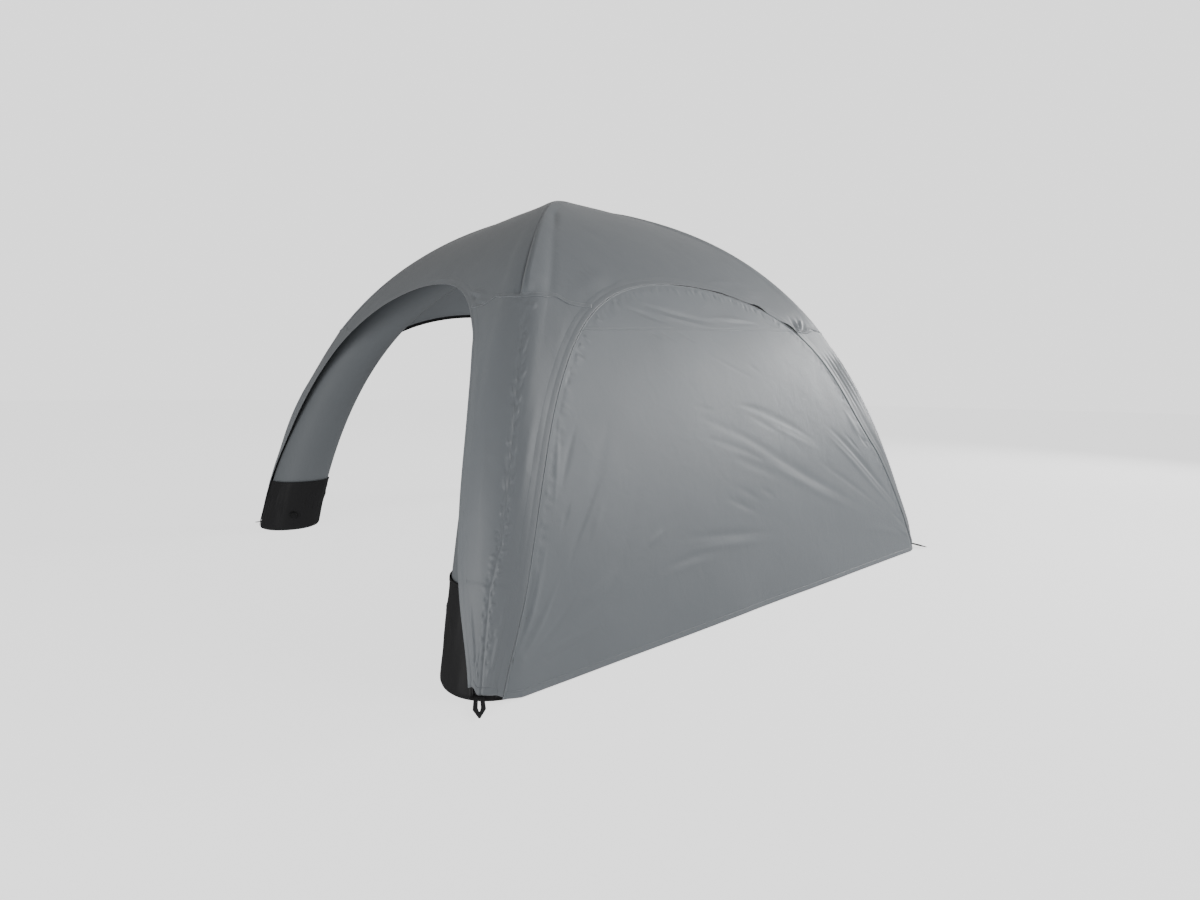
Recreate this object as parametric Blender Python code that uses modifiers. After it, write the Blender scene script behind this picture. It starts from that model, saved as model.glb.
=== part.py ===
"""Inflatable party tent: four air tubes lean together under a stretched fabric skin.

Units are metres, +Z is up and the floor is z = 0. The tent stands centred on the Z axis.
Its front, an open side, faces -Y. The side wall hangs on the +X side.
"""
import math

import bmesh
import bpy
import numpy as np
from mathutils import Matrix, Vector

# Air tubes: the centre line is a Bezier curve in each leg's upright diagonal plane,
# given as (distance from the tent's axis, height).
FOOT_REACH = 2.50
KNEE = (1.93, 2.14)
SHOULDER = (0.75, 2.32)
CROWN_HEIGHT = 2.465
FOOT_RADIUS = 0.230
CROWN_RADIUS = 0.155
TAPER_POWER = 2.0
TUBE_SIDES = 24
TUBE_RINGS = 18
TUBE_CLEARANCE = 0.012
TUBE_BASE = 0.006
CROWN_JOINT_REACH = 0.42
CROWN_OVERLAP = 1.0
CROWN_RINGS = 5
SLEEVE_RINGS = 8
CUT_GAP = 0.0004
# How far past its cut each tube is drawn, as a share of the centre line.
TUBE_PAST_CUT = 0.03
SLEEVE_PAST_CUT = 0.05

# Fabric skin over the tubes.
FABRIC = 0.004
SEAM_GAP = 0.0012
ARCH_HALF_WIDTH = 1.853
ARCH_HEIGHT = 1.885
ARCH_KNEE = (1.46, 1.17)
ARCH_SHOULDER = 1.245
ARCH_LEG_STEPS = 11
ARCH_CROWN_STEPS = 5
SEAM_HEIGHT = 1.645
SKIN_BASE = 0.003
COVER_BASE = 0.045
WALL_SEAM_STEP = 10
ROOF_ROWS = 9
RIDGE_COLUMNS = 6
WALL_COLUMNS = 14
CAP_ROWS = 3
CAP_END = 0.93
# A height inside the tent that every piece of fabric faces away from.
MIDDLE_HEIGHT = 0.8

# Zip tape along the edge of each side's arch.
ZIP_WIDTH = 0.026

# Black sleeve round each foot.
SLEEVE_TOP = 0.42
SLEEVE_FABRIC = 0.004
SLEEVE_CLEARANCE = 0.004

# Webbing loop for a ground peg, at each foot's outer edge: two straps that meet in a point.
# Both outlines are given as (distance from the foot, width).
LOOP_OUTLINE = ((0.0, 0.040), (0.078, 0.050), (0.125, 0.006))
SLOT_OUTLINE = ((0.016, 0.008), (0.072, 0.012), (0.092, 0.003))
LOOP_THICKNESS = 0.004
LOOP_HEIGHT = 0.030
LOOP_SLOPE = math.radians(10)
LOOP_TURN = math.radians(17)
LOOP_GAP = 0.0015

# Inflation valve on the inner side of each sleeve.
VALVE_RADIUS = 0.030
VALVE_LENGTH = 0.014
VALVE_HEIGHT = 0.17
VALVE_ANGLE = math.radians(122)
VALVE_TAPER = 0.85
VALVE_GAP = 0.0015

SIDES = {"right": 0.0, "back": 90.0, "left": 180.0, "front": 270.0}
LEGS = {"front_right": -45.0, "rear_right": 45.0, "rear_left": 135.0, "front_left": 225.0}
SIDES_OF_LEG = {
    "front_right": ("front", "right"),
    "rear_right": ("right", "back"),
    "rear_left": ("back", "left"),
    "front_left": ("left", "front"),
}
HALF = math.sqrt(0.5)
FOOT_OVERRUN = -0.07
SHARP_ANGLE = math.radians(40)
SAMPLES = 400
ROUNDING = 1e-9


def clear_scene():
    for item in list(bpy.data.objects):
        bpy.data.objects.remove(item, do_unlink=True)


def make_material(name, colour, roughness):
    material = bpy.data.materials.new(name)
    material.use_nodes = True
    shader = material.node_tree.nodes["Principled BSDF"]
    shader.inputs["Base Color"].default_value = (*colour, 1.0)
    shader.inputs["Roughness"].default_value = roughness
    return material


def add_object(name, mesh, material, smooth=True):
    item = bpy.data.objects.new(name, mesh)
    TENT.objects.link(item)
    mesh.materials.clear()
    mesh.materials.append(material)
    if smooth:
        mesh.shade_smooth()
        mesh.set_sharp_from_angle(angle=SHARP_ANGLE)
    return item


def smoothed_mesh(name, shape):
    mesh = bpy.data.meshes.new(name)
    shape.to_mesh(mesh)
    shape.free()
    return mesh


def unit(vector):
    return vector / np.linalg.norm(vector)


# The centre line and the skin that is stretched over it.
def centre_line(t):
    """Point and direction (reach, height) and tube radius at t, 0 at the floor and 1 at the crown."""
    points = np.array([(FOOT_REACH, 0.0), KNEE, SHOULDER, (0.0, CROWN_HEIGHT)])
    s = 1.0 - t
    weights = np.array([s**3, 3 * s * s * t, 3 * s * t * t, t**3])
    slopes = np.array([-3 * s * s, 3 * s * s - 6 * s * t, 6 * s * t - 3 * t * t, 3 * t * t])
    share = (1.0 - min(max(t, 0.0), 1.0)) ** TAPER_POWER
    radius = CROWN_RADIUS + (FOOT_RADIUS - CROWN_RADIUS) * share
    return weights @ points, unit(slopes @ points), radius


class Section:
    """The skin's section over the tube at t, in a side's own axes: across, outward and up.

    The skin is flat across a side, touches each tube along a line and wraps round it from
    that line to the tube's outermost line, the ridge.
    """

    def __init__(self, t):
        centre, direction, radius = centre_line(min(t, 1.0))
        self.radius = radius
        self.half = centre[0] * HALF
        self.height = centre[1]
        self.pole = max(t - 1.0, 0.0)
        flat = unit(np.array([direction[1], -direction[0] * HALF]))
        self.flat_normal = np.array([0.0, flat[0], flat[1]])
        ridge = np.array([direction[1] * HALF, direction[1] * HALF, -direction[0]])
        self.wrap = math.acos(min(1.0, float(ridge @ self.flat_normal)))
        self.tangent = unit(ridge - (ridge @ self.flat_normal) * self.flat_normal)

    def ridge_offset(self):
        return self.half + self.radius * self.wrap

    def point(self, across):
        """Skin point at a distance across, measured over the skin from the side's middle."""
        sign = 1.0 if across >= 0 else -1.0
        reach = min(abs(across), self.half)
        angle = max(abs(across) - self.half, 0.0) / self.radius
        normal = self.flat_normal * math.cos(angle) + self.tangent * math.sin(angle)
        if self.pole > 0:
            up = np.array([0.0, 0.0, 1.0])
            between = math.acos(float(normal @ up))
            turn = between * self.pole
            aside = unit(up - (up @ normal) * normal)
            normal = normal * math.cos(turn) + aside * math.sin(turn)
        place = np.array([reach, self.half, self.height]) + self.radius * normal
        return np.array([sign * place[0], place[1], place[2]])


def skin_profile():
    """Height and length along the middle of a side, against t."""
    ts = np.linspace(FOOT_OVERRUN, 1.0, SAMPLES)
    points = np.array([Section(t).point(0.0)[1:] for t in ts])
    steps = np.linalg.norm(np.diff(points, axis=0), axis=1)
    lengths = np.concatenate([[0.0], np.cumsum(steps)])
    return ts, points[:, 1], lengths


PROFILE_T, PROFILE_Z, PROFILE_LENGTH = skin_profile()


def t_at_height(z):
    return float(np.interp(z, PROFILE_Z, PROFILE_T))


def length_at(t):
    return float(np.interp(t, PROFILE_T, PROFILE_LENGTH))


def t_at_length(length):
    return float(np.interp(length, PROFILE_LENGTH, PROFILE_T))


def bezier(points, s):
    a, b, c, d = (np.array(p, dtype=float) for p in points)
    r = 1.0 - s
    return r**3 * a + 3 * r * r * s * b + 3 * r * s * s * c + s**3 * d


def arch_half():
    """Half of a side's arch as (across, t), from the floor to the middle of its top."""
    curve = [(ARCH_HALF_WIDTH, SKIN_BASE), ARCH_KNEE, (ARCH_SHOULDER, ARCH_HEIGHT), (0, ARCH_HEIGHT)]
    fine = np.array([bezier(curve, s) for s in np.linspace(0, 1, SAMPLES)])
    steps = np.linalg.norm(np.diff(fine, axis=0), axis=1)
    run = np.concatenate([[0.0], np.cumsum(steps)])
    cover_run = float(np.interp(COVER_BASE, fine[:, 1], run))
    seam_run = float(np.interp(SEAM_HEIGHT, fine[:, 1], run))
    stations = np.concatenate([
        [0.0],
        np.linspace(cover_run, seam_run, ARCH_LEG_STEPS),
        np.linspace(seam_run, run[-1], ARCH_CROWN_STEPS + 1)[1:],
    ])
    return [(float(np.interp(r, run, fine[:, 0])), t_at_height(float(np.interp(r, run, fine[:, 1]))))
            for r in stations]


def full_arch(half):
    """Mirror a half arch into a whole one, running from -across to +across."""
    return [(-x, t) for x, t in half] + [(x, t) for x, t in reversed(half[:-1])]


def inset(arch, distance):
    """Move each arch point into the opening, square to the arch and no lower than its feet."""
    flat = np.array([(x, length_at(t)) for x, t in arch])
    moved = []
    for i, point in enumerate(flat):
        before = flat[max(i - 1, 0)]
        after = flat[min(i + 1, len(flat) - 1)]
        along = unit(after - before)
        inward = np.array([along[1], -along[0]])
        x, length = point + distance * inward
        moved.append((x, max(t_at_length(length), arch[0][1])))
    return moved


ARCH = arch_half()
FULL_ARCH = full_arch(ARCH)
T_SEAM = ARCH[ARCH_LEG_STEPS][1]


def arch_across(t):
    """Half width of the arch at t."""
    return float(np.interp(t, [step[1] for step in ARCH], [step[0] for step in ARCH]))


def to_world(point, angle_degrees):
    """Turn a point in a side's axes (across, outward, up) into world axes."""
    a = math.radians(angle_degrees)
    across, outward, up = point
    return Vector((outward * math.cos(a) - across * math.sin(a),
                   outward * math.sin(a) + across * math.cos(a), up))


def skin_sheet(name, rows, material, angle_degrees):
    """A fabric piece from rows of (across, t), thickened outward."""
    points = [[to_world(Section(t).point(x), angle_degrees) for x, t in row] for row in rows]
    return sheet(name, points, material)


def sheet(name, points, material):
    """A sheet whose corners are placed by rows of points, thickened on its outer side."""
    row_count = len(points)
    column_count = len(points[0])
    shape = bmesh.new()
    bmesh.ops.create_grid(shape, x_segments=column_count - 1, y_segments=row_count - 1, size=1.0)
    shape.verts.sort(key=lambda v: 1000 * round(v.co.y, 4) + v.co.x)
    shape.verts.ensure_lookup_table()
    for i, row in enumerate(points):
        for j, place in enumerate(row):
            shape.verts[i * column_count + j].co = place
    bmesh.ops.recalc_face_normals(shape, faces=shape.faces)
    middle = Vector((0, 0, MIDDLE_HEIGHT))
    facing = sum(f.normal.dot(f.calc_center_median() - middle) * f.calc_area() for f in shape.faces)
    if facing < 0:
        bmesh.ops.reverse_faces(shape, faces=shape.faces)
    item = add_object(name, smoothed_mesh(name, shape), material)
    solid = item.modifiers.new("Fabric", "SOLIDIFY")
    solid.thickness = FABRIC
    solid.offset = 1.0
    solid.use_even_offset = True
    return item


def add_roof_panel(side, material):
    """Roof face between two ridges, down to the leg seams and the arch."""
    arch = [(x, t) for x, t in FULL_ARCH if t >= T_SEAM - ROUNDING]
    ridge = Section(T_SEAM).ridge_offset() - SEAM_GAP
    outer = arch[-1][0]
    aside = [outer + (ridge - outer) * k / RIDGE_COLUMNS for k in range(1, RIDGE_COLUMNS + 1)]
    low = [(-x, T_SEAM) for x in reversed(aside)] + arch + [(x, T_SEAM) for x in aside]
    low = [(x, t_at_length(length_at(t) + SEAM_GAP)) for x, t in low]
    rows = []
    for i in range(ROOF_ROWS + 1):
        share = i / ROOF_ROWS
        row = []
        for x, t in low:
            fraction = x / (Section(t).ridge_offset() - SEAM_GAP)
            height = t + (1.0 - t) * share
            row.append((fraction * (Section(height).ridge_offset() - SEAM_GAP), height))
        rows.append(row)
    top = rows[-1]
    for k in range(1, CAP_ROWS + 1):
        rows.append([(x, 1.0 + CAP_END * k / CAP_ROWS) for x, _ in top])
    skin_sheet(f"roof_panel_{side}", rows, material, SIDES[side])


def add_leg_cover(leg, material):
    """Strip over a leg's outer face, from near the floor to the roof seam, between two arches."""
    first, second = SIDES_OF_LEG[leg]
    edge = ARCH[1:ARCH_LEG_STEPS]
    t_top = t_at_length(length_at(T_SEAM) - SEAM_GAP)
    edge.append((arch_across(t_top) + SEAM_GAP / 2, t_top))
    points = []
    for x, t in edge:
        section = Section(t)
        ridge = section.ridge_offset()
        half = ridge - x - SEAM_GAP
        row = []
        for j in range(2 * RIDGE_COLUMNS + 1):
            place = half * (j / RIDGE_COLUMNS - 1)
            if place < 0:
                row.append(to_world(section.point(ridge + place), SIDES[first]))
            else:
                row.append(to_world(section.point(-ridge + place), SIDES[second]))
        points.append(row)
    sheet(f"leg_cover_{leg}", points, material)


def add_zip(side, material):
    """Zip tape along one arch."""
    skin_sheet(f"arch_zip_{side}", [FULL_ARCH, inset(FULL_ARCH, ZIP_WIDTH)], material, SIDES[side])


def add_side_wall(side, material):
    """Wall inside the zip, in two widths of fabric joined by a level seam."""
    count = len(ARCH)
    left = inset(FULL_ARCH, ZIP_WIDTH + SEAM_GAP)[:count]
    lower = [row_across(abs(x), t) for x, t in left[:WALL_SEAM_STEP + 1]]
    x, t = left[WALL_SEAM_STEP]
    lower[-1] = row_across(abs(x), t_at_length(length_at(t) - SEAM_GAP))
    upper = [row_across(abs(x), t) for x, t in left[WALL_SEAM_STEP:count - 2]]
    top_x, top_t = left[count - 2]
    peak_t = left[count - 1][1]
    top_row = row_across(abs(top_x), top_t)
    upper.append([(x, top_t + (peak_t - top_t) * (1 - abs(x / top_x))) for x, _ in top_row])
    skin_sheet(f"side_wall_lower_{side}", lower, material, SIDES[side])
    skin_sheet(f"side_wall_upper_{side}", upper, material, SIDES[side])


def row_across(half_width, t):
    return [(-half_width + 2 * half_width * j / WALL_COLUMNS, t) for j in range(WALL_COLUMNS + 1)]


# Tubes and the pieces on them.
def leg_curve(name, t_low, t_high, inset_distance, rings):
    """A tapered tube along a leg's centre line, in the XZ plane, as a curve with filled caps."""
    curve = bpy.data.curves.new(name, "CURVE")
    curve.dimensions = "3D"
    curve.bevel_depth = 1.0
    curve.bevel_resolution = TUBE_SIDES // 2 - 2
    curve.use_fill_caps = True
    spline = curve.splines.new("POLY")
    spline.points.add(rings)
    for i, point in enumerate(spline.points):
        centre, _, radius = centre_line(t_low + (t_high - t_low) * i / rings)
        point.co = (centre[0], 0.0, centre[1], 1.0)
        point.radius = radius - inset_distance
    return curve


def curve_to_shape(curve):
    """The curve's mesh with its caps welded, as an editable shape."""
    helper = bpy.data.objects.new("helper", curve)
    TENT.objects.link(helper)
    bpy.context.view_layer.update()
    evaluated = helper.evaluated_get(bpy.context.evaluated_depsgraph_get())
    mesh = bpy.data.meshes.new_from_object(evaluated)
    shape = bmesh.new()
    shape.from_mesh(mesh)
    bpy.data.objects.remove(helper, do_unlink=True)
    bpy.data.meshes.remove(mesh)
    bmesh.ops.remove_doubles(shape, verts=shape.verts, dist=0.0001)
    bmesh.ops.recalc_face_normals(shape, faces=shape.faces)
    return shape


def cut_flat(shape, point, normal, cap=True):
    """Remove what lies beyond a plane and close the cut."""
    everything = shape.verts[:] + shape.edges[:] + shape.faces[:]
    cut = bmesh.ops.bisect_plane(shape, geom=everything, plane_co=point, plane_no=normal, clear_outer=True)
    if cap:
        edges = [e for e in cut["geom_cut"] if isinstance(e, bmesh.types.BMEdge)]
        bmesh.ops.contextual_create(shape, geom=edges)
        bmesh.ops.recalc_face_normals(shape, faces=shape.faces)


def leg_turn(leg):
    return Matrix.Rotation(math.radians(LEGS[leg]), 4, "Z")


def t_at_reach(reach):
    ts = np.linspace(0.5, 1.0, SAMPLES)
    reaches = np.array([centre_line(t)[0][0] for t in ts])
    return float(np.interp(-reach, -reaches, ts))


def add_leg_tube(leg, material):
    t_end = t_at_reach(CROWN_JOINT_REACH)
    curve = leg_curve(leg, 2 * FOOT_OVERRUN, t_end + TUBE_PAST_CUT, TUBE_CLEARANCE, TUBE_RINGS)
    shape = curve_to_shape(curve)
    cut_flat(shape, (0, 0, TUBE_BASE), (0, 0, -1))
    cut_flat(shape, (CROWN_JOINT_REACH + CUT_GAP, 0, 0), (-1, 0, 0))
    shape.transform(leg_turn(leg))
    add_object(f"leg_tube_{leg}", smoothed_mesh(leg, shape), material)


def add_crown(material):
    """Chamber where the four tubes meet: four tapered stubs joined into one body."""
    t_low = t_at_reach(CROWN_JOINT_REACH) - TUBE_PAST_CUT
    crown = None
    for leg in LEGS:
        shape = curve_to_shape(leg_curve(leg, t_low, CROWN_OVERLAP, TUBE_CLEARANCE, CROWN_RINGS))
        cut_flat(shape, (CROWN_JOINT_REACH, 0, 0), (1, 0, 0))
        shape.transform(leg_turn(leg))
        mesh = smoothed_mesh(f"crown_stub_{leg}", shape)
        if crown is None:
            crown = add_object("tube_crown", mesh, material)
            continue
        stub = bpy.data.objects.new(f"crown_stub_{leg}", mesh)
        CUTTERS.objects.link(stub)
        stub.hide_render = True
        stub.display_type = "WIRE"
        union = crown.modifiers.new(f"Join {leg}", "BOOLEAN")
        union.operation = "UNION"
        union.solver = "EXACT"
        union.object = stub


def add_foot_sleeve(leg, material):
    """Black cup of fabric round a foot, flat underneath and open at the top."""
    outer = TUBE_CLEARANCE - SLEEVE_CLEARANCE - SLEEVE_FABRIC
    t_top = foot_t_at_height(SLEEVE_TOP)
    shape = curve_to_shape(leg_curve(leg, 2 * FOOT_OVERRUN, t_top + SLEEVE_PAST_CUT, outer, SLEEVE_RINGS))
    cut_flat(shape, (0, 0, 0), (0, 0, -1))
    cut_flat(shape, (0, 0, SLEEVE_TOP), (0, 0, 1), cap=False)
    shape.transform(leg_turn(leg))
    item = add_object(f"foot_sleeve_{leg}", smoothed_mesh(leg, shape), material)
    solid = item.modifiers.new("Fabric", "SOLIDIFY")
    solid.thickness = SLEEVE_FABRIC
    solid.offset = -1.0
    solid.use_even_offset = True


def foot_t_at_height(z):
    ts = np.linspace(0.0, 0.4, SAMPLES)
    heights = np.array([centre_line(t)[0][1] for t in ts])
    return float(np.interp(z, heights, ts))


def outline_curve(name, outlines, thickness):
    """A flat plate from closed outlines of (x, y) points, centred on its own mid plane."""
    curve = bpy.data.curves.new(name, "CURVE")
    curve.dimensions = "2D"
    curve.fill_mode = "BOTH"
    curve.extrude = thickness / 2
    for points in outlines:
        spline = curve.splines.new("POLY")
        spline.points.add(len(points) - 1)
        for place, (x, y) in zip(spline.points, points):
            place.co = (x, y, 0.0, 1.0)
        spline.use_cyclic_u = True
    return curve


def closed_outline(stations, slant):
    """Closed outline through (distance, width) stations. Its first edge leans by the slant."""
    start, neck = stations[0]
    far = [(x, -width / 2) for x, width in stations[1:]] + [(x, width / 2) for x, width in stations[:0:-1]]
    return [(start - slant * neck / 2, -neck / 2), *far, (start + slant * neck / 2, neck / 2)]


def add_peg_loop(leg, material):
    """Flat webbing loop that slopes from the foot down to the ground, for a ground peg."""
    _, lean, radius = centre_line(0.0)
    sleeve_radius = radius - TUBE_CLEARANCE + SLEEVE_CLEARANCE + SLEEVE_FABRIC
    reach = FOOT_REACH + (sleeve_radius + LOOP_HEIGHT * lean[0]) / lean[1] + LOOP_GAP
    toward_x = -math.copysign(LOOP_TURN, math.tan(math.radians(LEGS[leg])))
    outlines = [closed_outline(LOOP_OUTLINE, math.tan(toward_x)), closed_outline(SLOT_OUTLINE, 0.0)]
    shape = curve_to_shape(outline_curve(leg, outlines, LOOP_THICKNESS))
    turn = Matrix.Rotation(toward_x, 4, "Z") @ Matrix.Rotation(LOOP_SLOPE, 4, "Y")
    shape.transform(leg_turn(leg) @ Matrix.Translation((reach, 0, LOOP_HEIGHT)) @ turn)
    add_object(f"peg_loop_{leg}", smoothed_mesh(leg, shape), material, smooth=False)


def add_valve(leg, material):
    """Screw-capped air valve on the foot's inner side."""
    t = foot_t_at_height(VALVE_HEIGHT)
    centre, direction, radius = centre_line(t)
    outward = np.array([direction[1], 0.0, -direction[0]])
    aside = np.array([0.0, 1.0, 0.0])
    normal = outward * math.cos(VALVE_ANGLE) + aside * math.sin(VALVE_ANGLE)
    face = radius - TUBE_CLEARANCE + SLEEVE_CLEARANCE + SLEEVE_FABRIC + VALVE_GAP
    place = np.array([centre[0], 0.0, centre[1]]) + normal * (face + VALVE_LENGTH / 2)
    shape = bmesh.new()
    bmesh.ops.create_cone(shape, cap_ends=True, segments=24, radius1=VALVE_RADIUS,
                          radius2=VALVE_RADIUS * VALVE_TAPER, depth=VALVE_LENGTH)
    turn = Vector((0, 0, 1)).rotation_difference(Vector(normal)).to_matrix().to_4x4()
    shape.transform(leg_turn(leg) @ Matrix.Translation(Vector(place)) @ turn)
    add_object(f"inflation_valve_{leg}", smoothed_mesh(leg, shape), material)


def build():
    fabric = make_material("tent_fabric", (0.175, 0.185, 0.19), 0.55)
    wall_fabric = make_material("wall_fabric", (0.22, 0.23, 0.24), 0.5)
    tube_fabric = make_material("air_tube", (0.15, 0.155, 0.16), 0.5)
    sleeve = make_material("foot_sleeve", (0.012, 0.012, 0.013), 0.4)
    black = make_material("black_trim", (0.01, 0.01, 0.011), 0.6)
    for side in SIDES:
        add_roof_panel(side, fabric)
        add_zip(side, black)
    for leg in LEGS:
        add_leg_cover(leg, fabric)
        add_leg_tube(leg, tube_fabric)
        add_foot_sleeve(leg, sleeve)
        add_peg_loop(leg, black)
        add_valve(leg, black)
    add_crown(tube_fabric)
    add_side_wall("right", wall_fabric)


clear_scene()
TENT = bpy.data.collections.new("inflatable_party_tent")
bpy.context.scene.collection.children.link(TENT)
CUTTERS = bpy.data.collections.new("cutters")
bpy.context.scene.collection.children.link(CUTTERS)
build()
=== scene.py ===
"""Looks of the inflatable party tent: satin polyester stretched over four air tubes.

Units are metres and +Z is up. The forms follow the construction's own dimensions and are
drawn finer here, with the folds, seams, hems and zips that the fabric has.
"""

import math

import bmesh
import bpy
import numpy as np
from mathutils import Matrix, Vector


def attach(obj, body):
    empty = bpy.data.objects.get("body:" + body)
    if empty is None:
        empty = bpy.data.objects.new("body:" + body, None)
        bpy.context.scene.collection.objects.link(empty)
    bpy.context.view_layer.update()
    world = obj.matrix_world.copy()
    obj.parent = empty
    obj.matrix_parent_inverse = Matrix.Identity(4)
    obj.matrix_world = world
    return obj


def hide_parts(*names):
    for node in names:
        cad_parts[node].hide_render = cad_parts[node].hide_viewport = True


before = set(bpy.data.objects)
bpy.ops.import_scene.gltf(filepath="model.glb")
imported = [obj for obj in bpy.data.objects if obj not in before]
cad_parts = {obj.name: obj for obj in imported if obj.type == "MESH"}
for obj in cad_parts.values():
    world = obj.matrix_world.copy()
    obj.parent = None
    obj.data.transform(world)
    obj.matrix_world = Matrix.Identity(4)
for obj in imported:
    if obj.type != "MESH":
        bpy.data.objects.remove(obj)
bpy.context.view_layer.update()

# Air tubes: centre line in each leg's upright diagonal plane, as (reach, height).
LINE_POINTS = np.array([(2.50, 0.0), (1.93, 2.14), (0.75, 2.32), (0.0, 2.465)])
FOOT_RADIUS = 0.230
CROWN_RADIUS = 0.155
TAPER_POWER = 2.0
TUBE_CLEARANCE = 0.012
TUBE_BASE = 0.006
CROWN_JOINT_REACH = 0.42
FOOT_OVERRUN = -0.07
HALF = math.sqrt(0.5)

# Fabric skin: the arch round each side's opening, as (across, height).
ARCH_POINTS = np.array([(1.853, 0.003), (1.46, 1.17), (1.245, 1.885), (0.0, 1.885)])
SEAM_HEIGHT = 1.645
COVER_BASE = 0.045
SKIN_BASE = 0.003
ZIP_WIDTH = 0.026
CLOTH = 0.0012
TRIM_CLOTH = 0.0008
SKIN_LIFT = 0.0022

# Feet.
SLEEVE_TOP = 0.42
SLEEVE_LIFT = -0.004
FOOT_ROUND = 0.022

SIDES = {"right": 0.0, "back": 90.0, "left": 180.0, "front": 270.0}
LEGS = {"front_right": -45.0, "rear_right": 45.0, "rear_left": 135.0, "front_left": 225.0}
SIDES_OF_LEG = {
    "front_right": ("front", "right"),
    "rear_right": ("right", "back"),
    "rear_left": ("back", "left"),
    "front_left": ("left", "front"),
}

# The leg that a side shares with its neighbour, where across is above 0 and below 0.
LEG_ABOVE = {sides[0]: leg for leg, sides in SIDES_OF_LEG.items()}
LEG_BELOW = {sides[1]: leg for leg, sides in SIDES_OF_LEG.items()}

# Camera of the photograph.
CAMERA_PLACE = Vector((3.8949, -2.9888, 1.2287))
CAMERA_AZIMUTH = 0.8791
CAMERA_TILT = 0.1372
CAMERA_ROLL = 0.0112
CAMERA_LENS = 17.898
CAMERA_SHIFT = (0.0055, 0.0168)


# Forms: the same skin over the tubes as the construction has, for arrays of points.
def unit(vectors):
    return vectors / np.linalg.norm(vectors, axis=-1, keepdims=True)


def centre_line(t):
    """Point and direction (reach, height) and tube radius at t, 0 at the floor and 1 at the crown."""
    t = np.asarray(t, float)[..., None]
    s = 1.0 - t
    weights = np.concatenate([s**3, 3 * s * s * t, 3 * s * t * t, t**3], axis=-1)
    slopes = np.concatenate([-3 * s * s, 3 * s * s - 6 * s * t, 6 * s * t - 3 * t * t, 3 * t * t], axis=-1)
    share = (1.0 - np.clip(t[..., 0], 0.0, 1.0)) ** TAPER_POWER
    radius = CROWN_RADIUS + (FOOT_RADIUS - CROWN_RADIUS) * share
    return weights @ LINE_POINTS, unit(slopes @ LINE_POINTS), radius


def section(t):
    """The skin's section at t: half width, height, radius, flat normal, tangent and wrap angle."""
    centre, direction, radius = centre_line(np.minimum(t, 1.0))
    out, up = direction[..., 1], -direction[..., 0]
    flat = unit(np.stack([np.zeros_like(out), out, up * HALF], axis=-1))
    ridge = np.stack([out * HALF, out * HALF, up], axis=-1)
    dot = np.minimum(1.0, np.sum(ridge * flat, axis=-1))
    tangent = unit(ridge - dot[..., None] * flat)
    return centre[..., 0] * HALF, centre[..., 1], radius, flat, tangent, np.arccos(dot)


def ridge_offset(t):
    half, _, radius, _, _, wrap = section(t)
    return half + radius * wrap


def skin(across, t):
    """Skin points and outward normals in a side's axes: across, outward and up."""
    across, t = np.broadcast_arrays(np.asarray(across, float), np.asarray(t, float))
    half, height, radius, flat, tangent, _ = section(t)
    sign = np.where(across < 0, -1.0, 1.0)
    reach = np.minimum(np.abs(across), half)
    angle = (np.maximum(np.abs(across) - half, 0.0) / radius)[..., None]
    normal = flat * np.cos(angle) + tangent * np.sin(angle)
    pole = np.clip(t - 1.0, 0.0, 1.0)
    turn = (np.arccos(np.clip(normal[..., 2], -1.0, 1.0)) * pole)[..., None]
    up = np.array([0.0, 0.0, 1.0])
    aside = unit(up - normal[..., 2:3] * normal)
    normal = normal * np.cos(turn) + aside * np.sin(turn)
    place = np.stack([reach, half, height], axis=-1) + radius[..., None] * normal
    mirror = np.stack([sign, np.ones_like(sign), np.ones_like(sign)], axis=-1)
    return place * mirror, normal * mirror


def turned(outward, across, up, angle_degrees):
    """World points from distances outward, across and up, turned about the upright axis."""
    a = math.radians(angle_degrees)
    return np.stack([outward * math.cos(a) - across * math.sin(a),
                     outward * math.sin(a) + across * math.cos(a), up], axis=-1)


def to_world(points, angle_degrees):
    """Turn points in a side's axes (across, outward, up) into world axes."""
    return turned(points[..., 1], points[..., 0], points[..., 2], angle_degrees)


PROFILE_T = np.linspace(FOOT_OVERRUN, 1.0, 600)
PROFILE_POINTS = skin(0.0, PROFILE_T)[0]
PROFILE_LENGTH = np.concatenate([[0.0], np.cumsum(np.linalg.norm(np.diff(PROFILE_POINTS, axis=0), axis=1))])
TOP_LENGTH = PROFILE_LENGTH[-1]
CAP_LENGTH = 0.045


def length_at(t):
    """Length up the middle of a side, going on over the crown for t from 1 to 2."""
    beyond = np.maximum(np.asarray(t, float) - 1.0, 0.0)
    return np.interp(t, PROFILE_T, PROFILE_LENGTH) + beyond * CAP_LENGTH


def t_at_length(length):
    length = np.asarray(length, float)
    return np.interp(length, PROFILE_LENGTH, PROFILE_T) + np.maximum(length - TOP_LENGTH, 0.0) / CAP_LENGTH


def length_at_height(z):
    return np.interp(z, PROFILE_POINTS[:, 2], PROFILE_LENGTH)


def bezier(points, s):
    s = np.asarray(s, float)[:, None]
    r = 1.0 - s
    return r**3 * points[0] + 3 * r * r * s * points[1] + 3 * r * s * s * points[2] + s**3 * points[3]


def arch_table():
    """The arch's half from the floor to its top: run along it, across and length up the side."""
    curve = bezier(ARCH_POINTS, np.linspace(0.0, 1.0, 800))
    flat = np.stack([curve[:, 0], length_at_height(curve[:, 1])], axis=-1)
    run = np.concatenate([[0.0], np.cumsum(np.linalg.norm(np.diff(flat, axis=0), axis=1))])
    return run, flat


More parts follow.
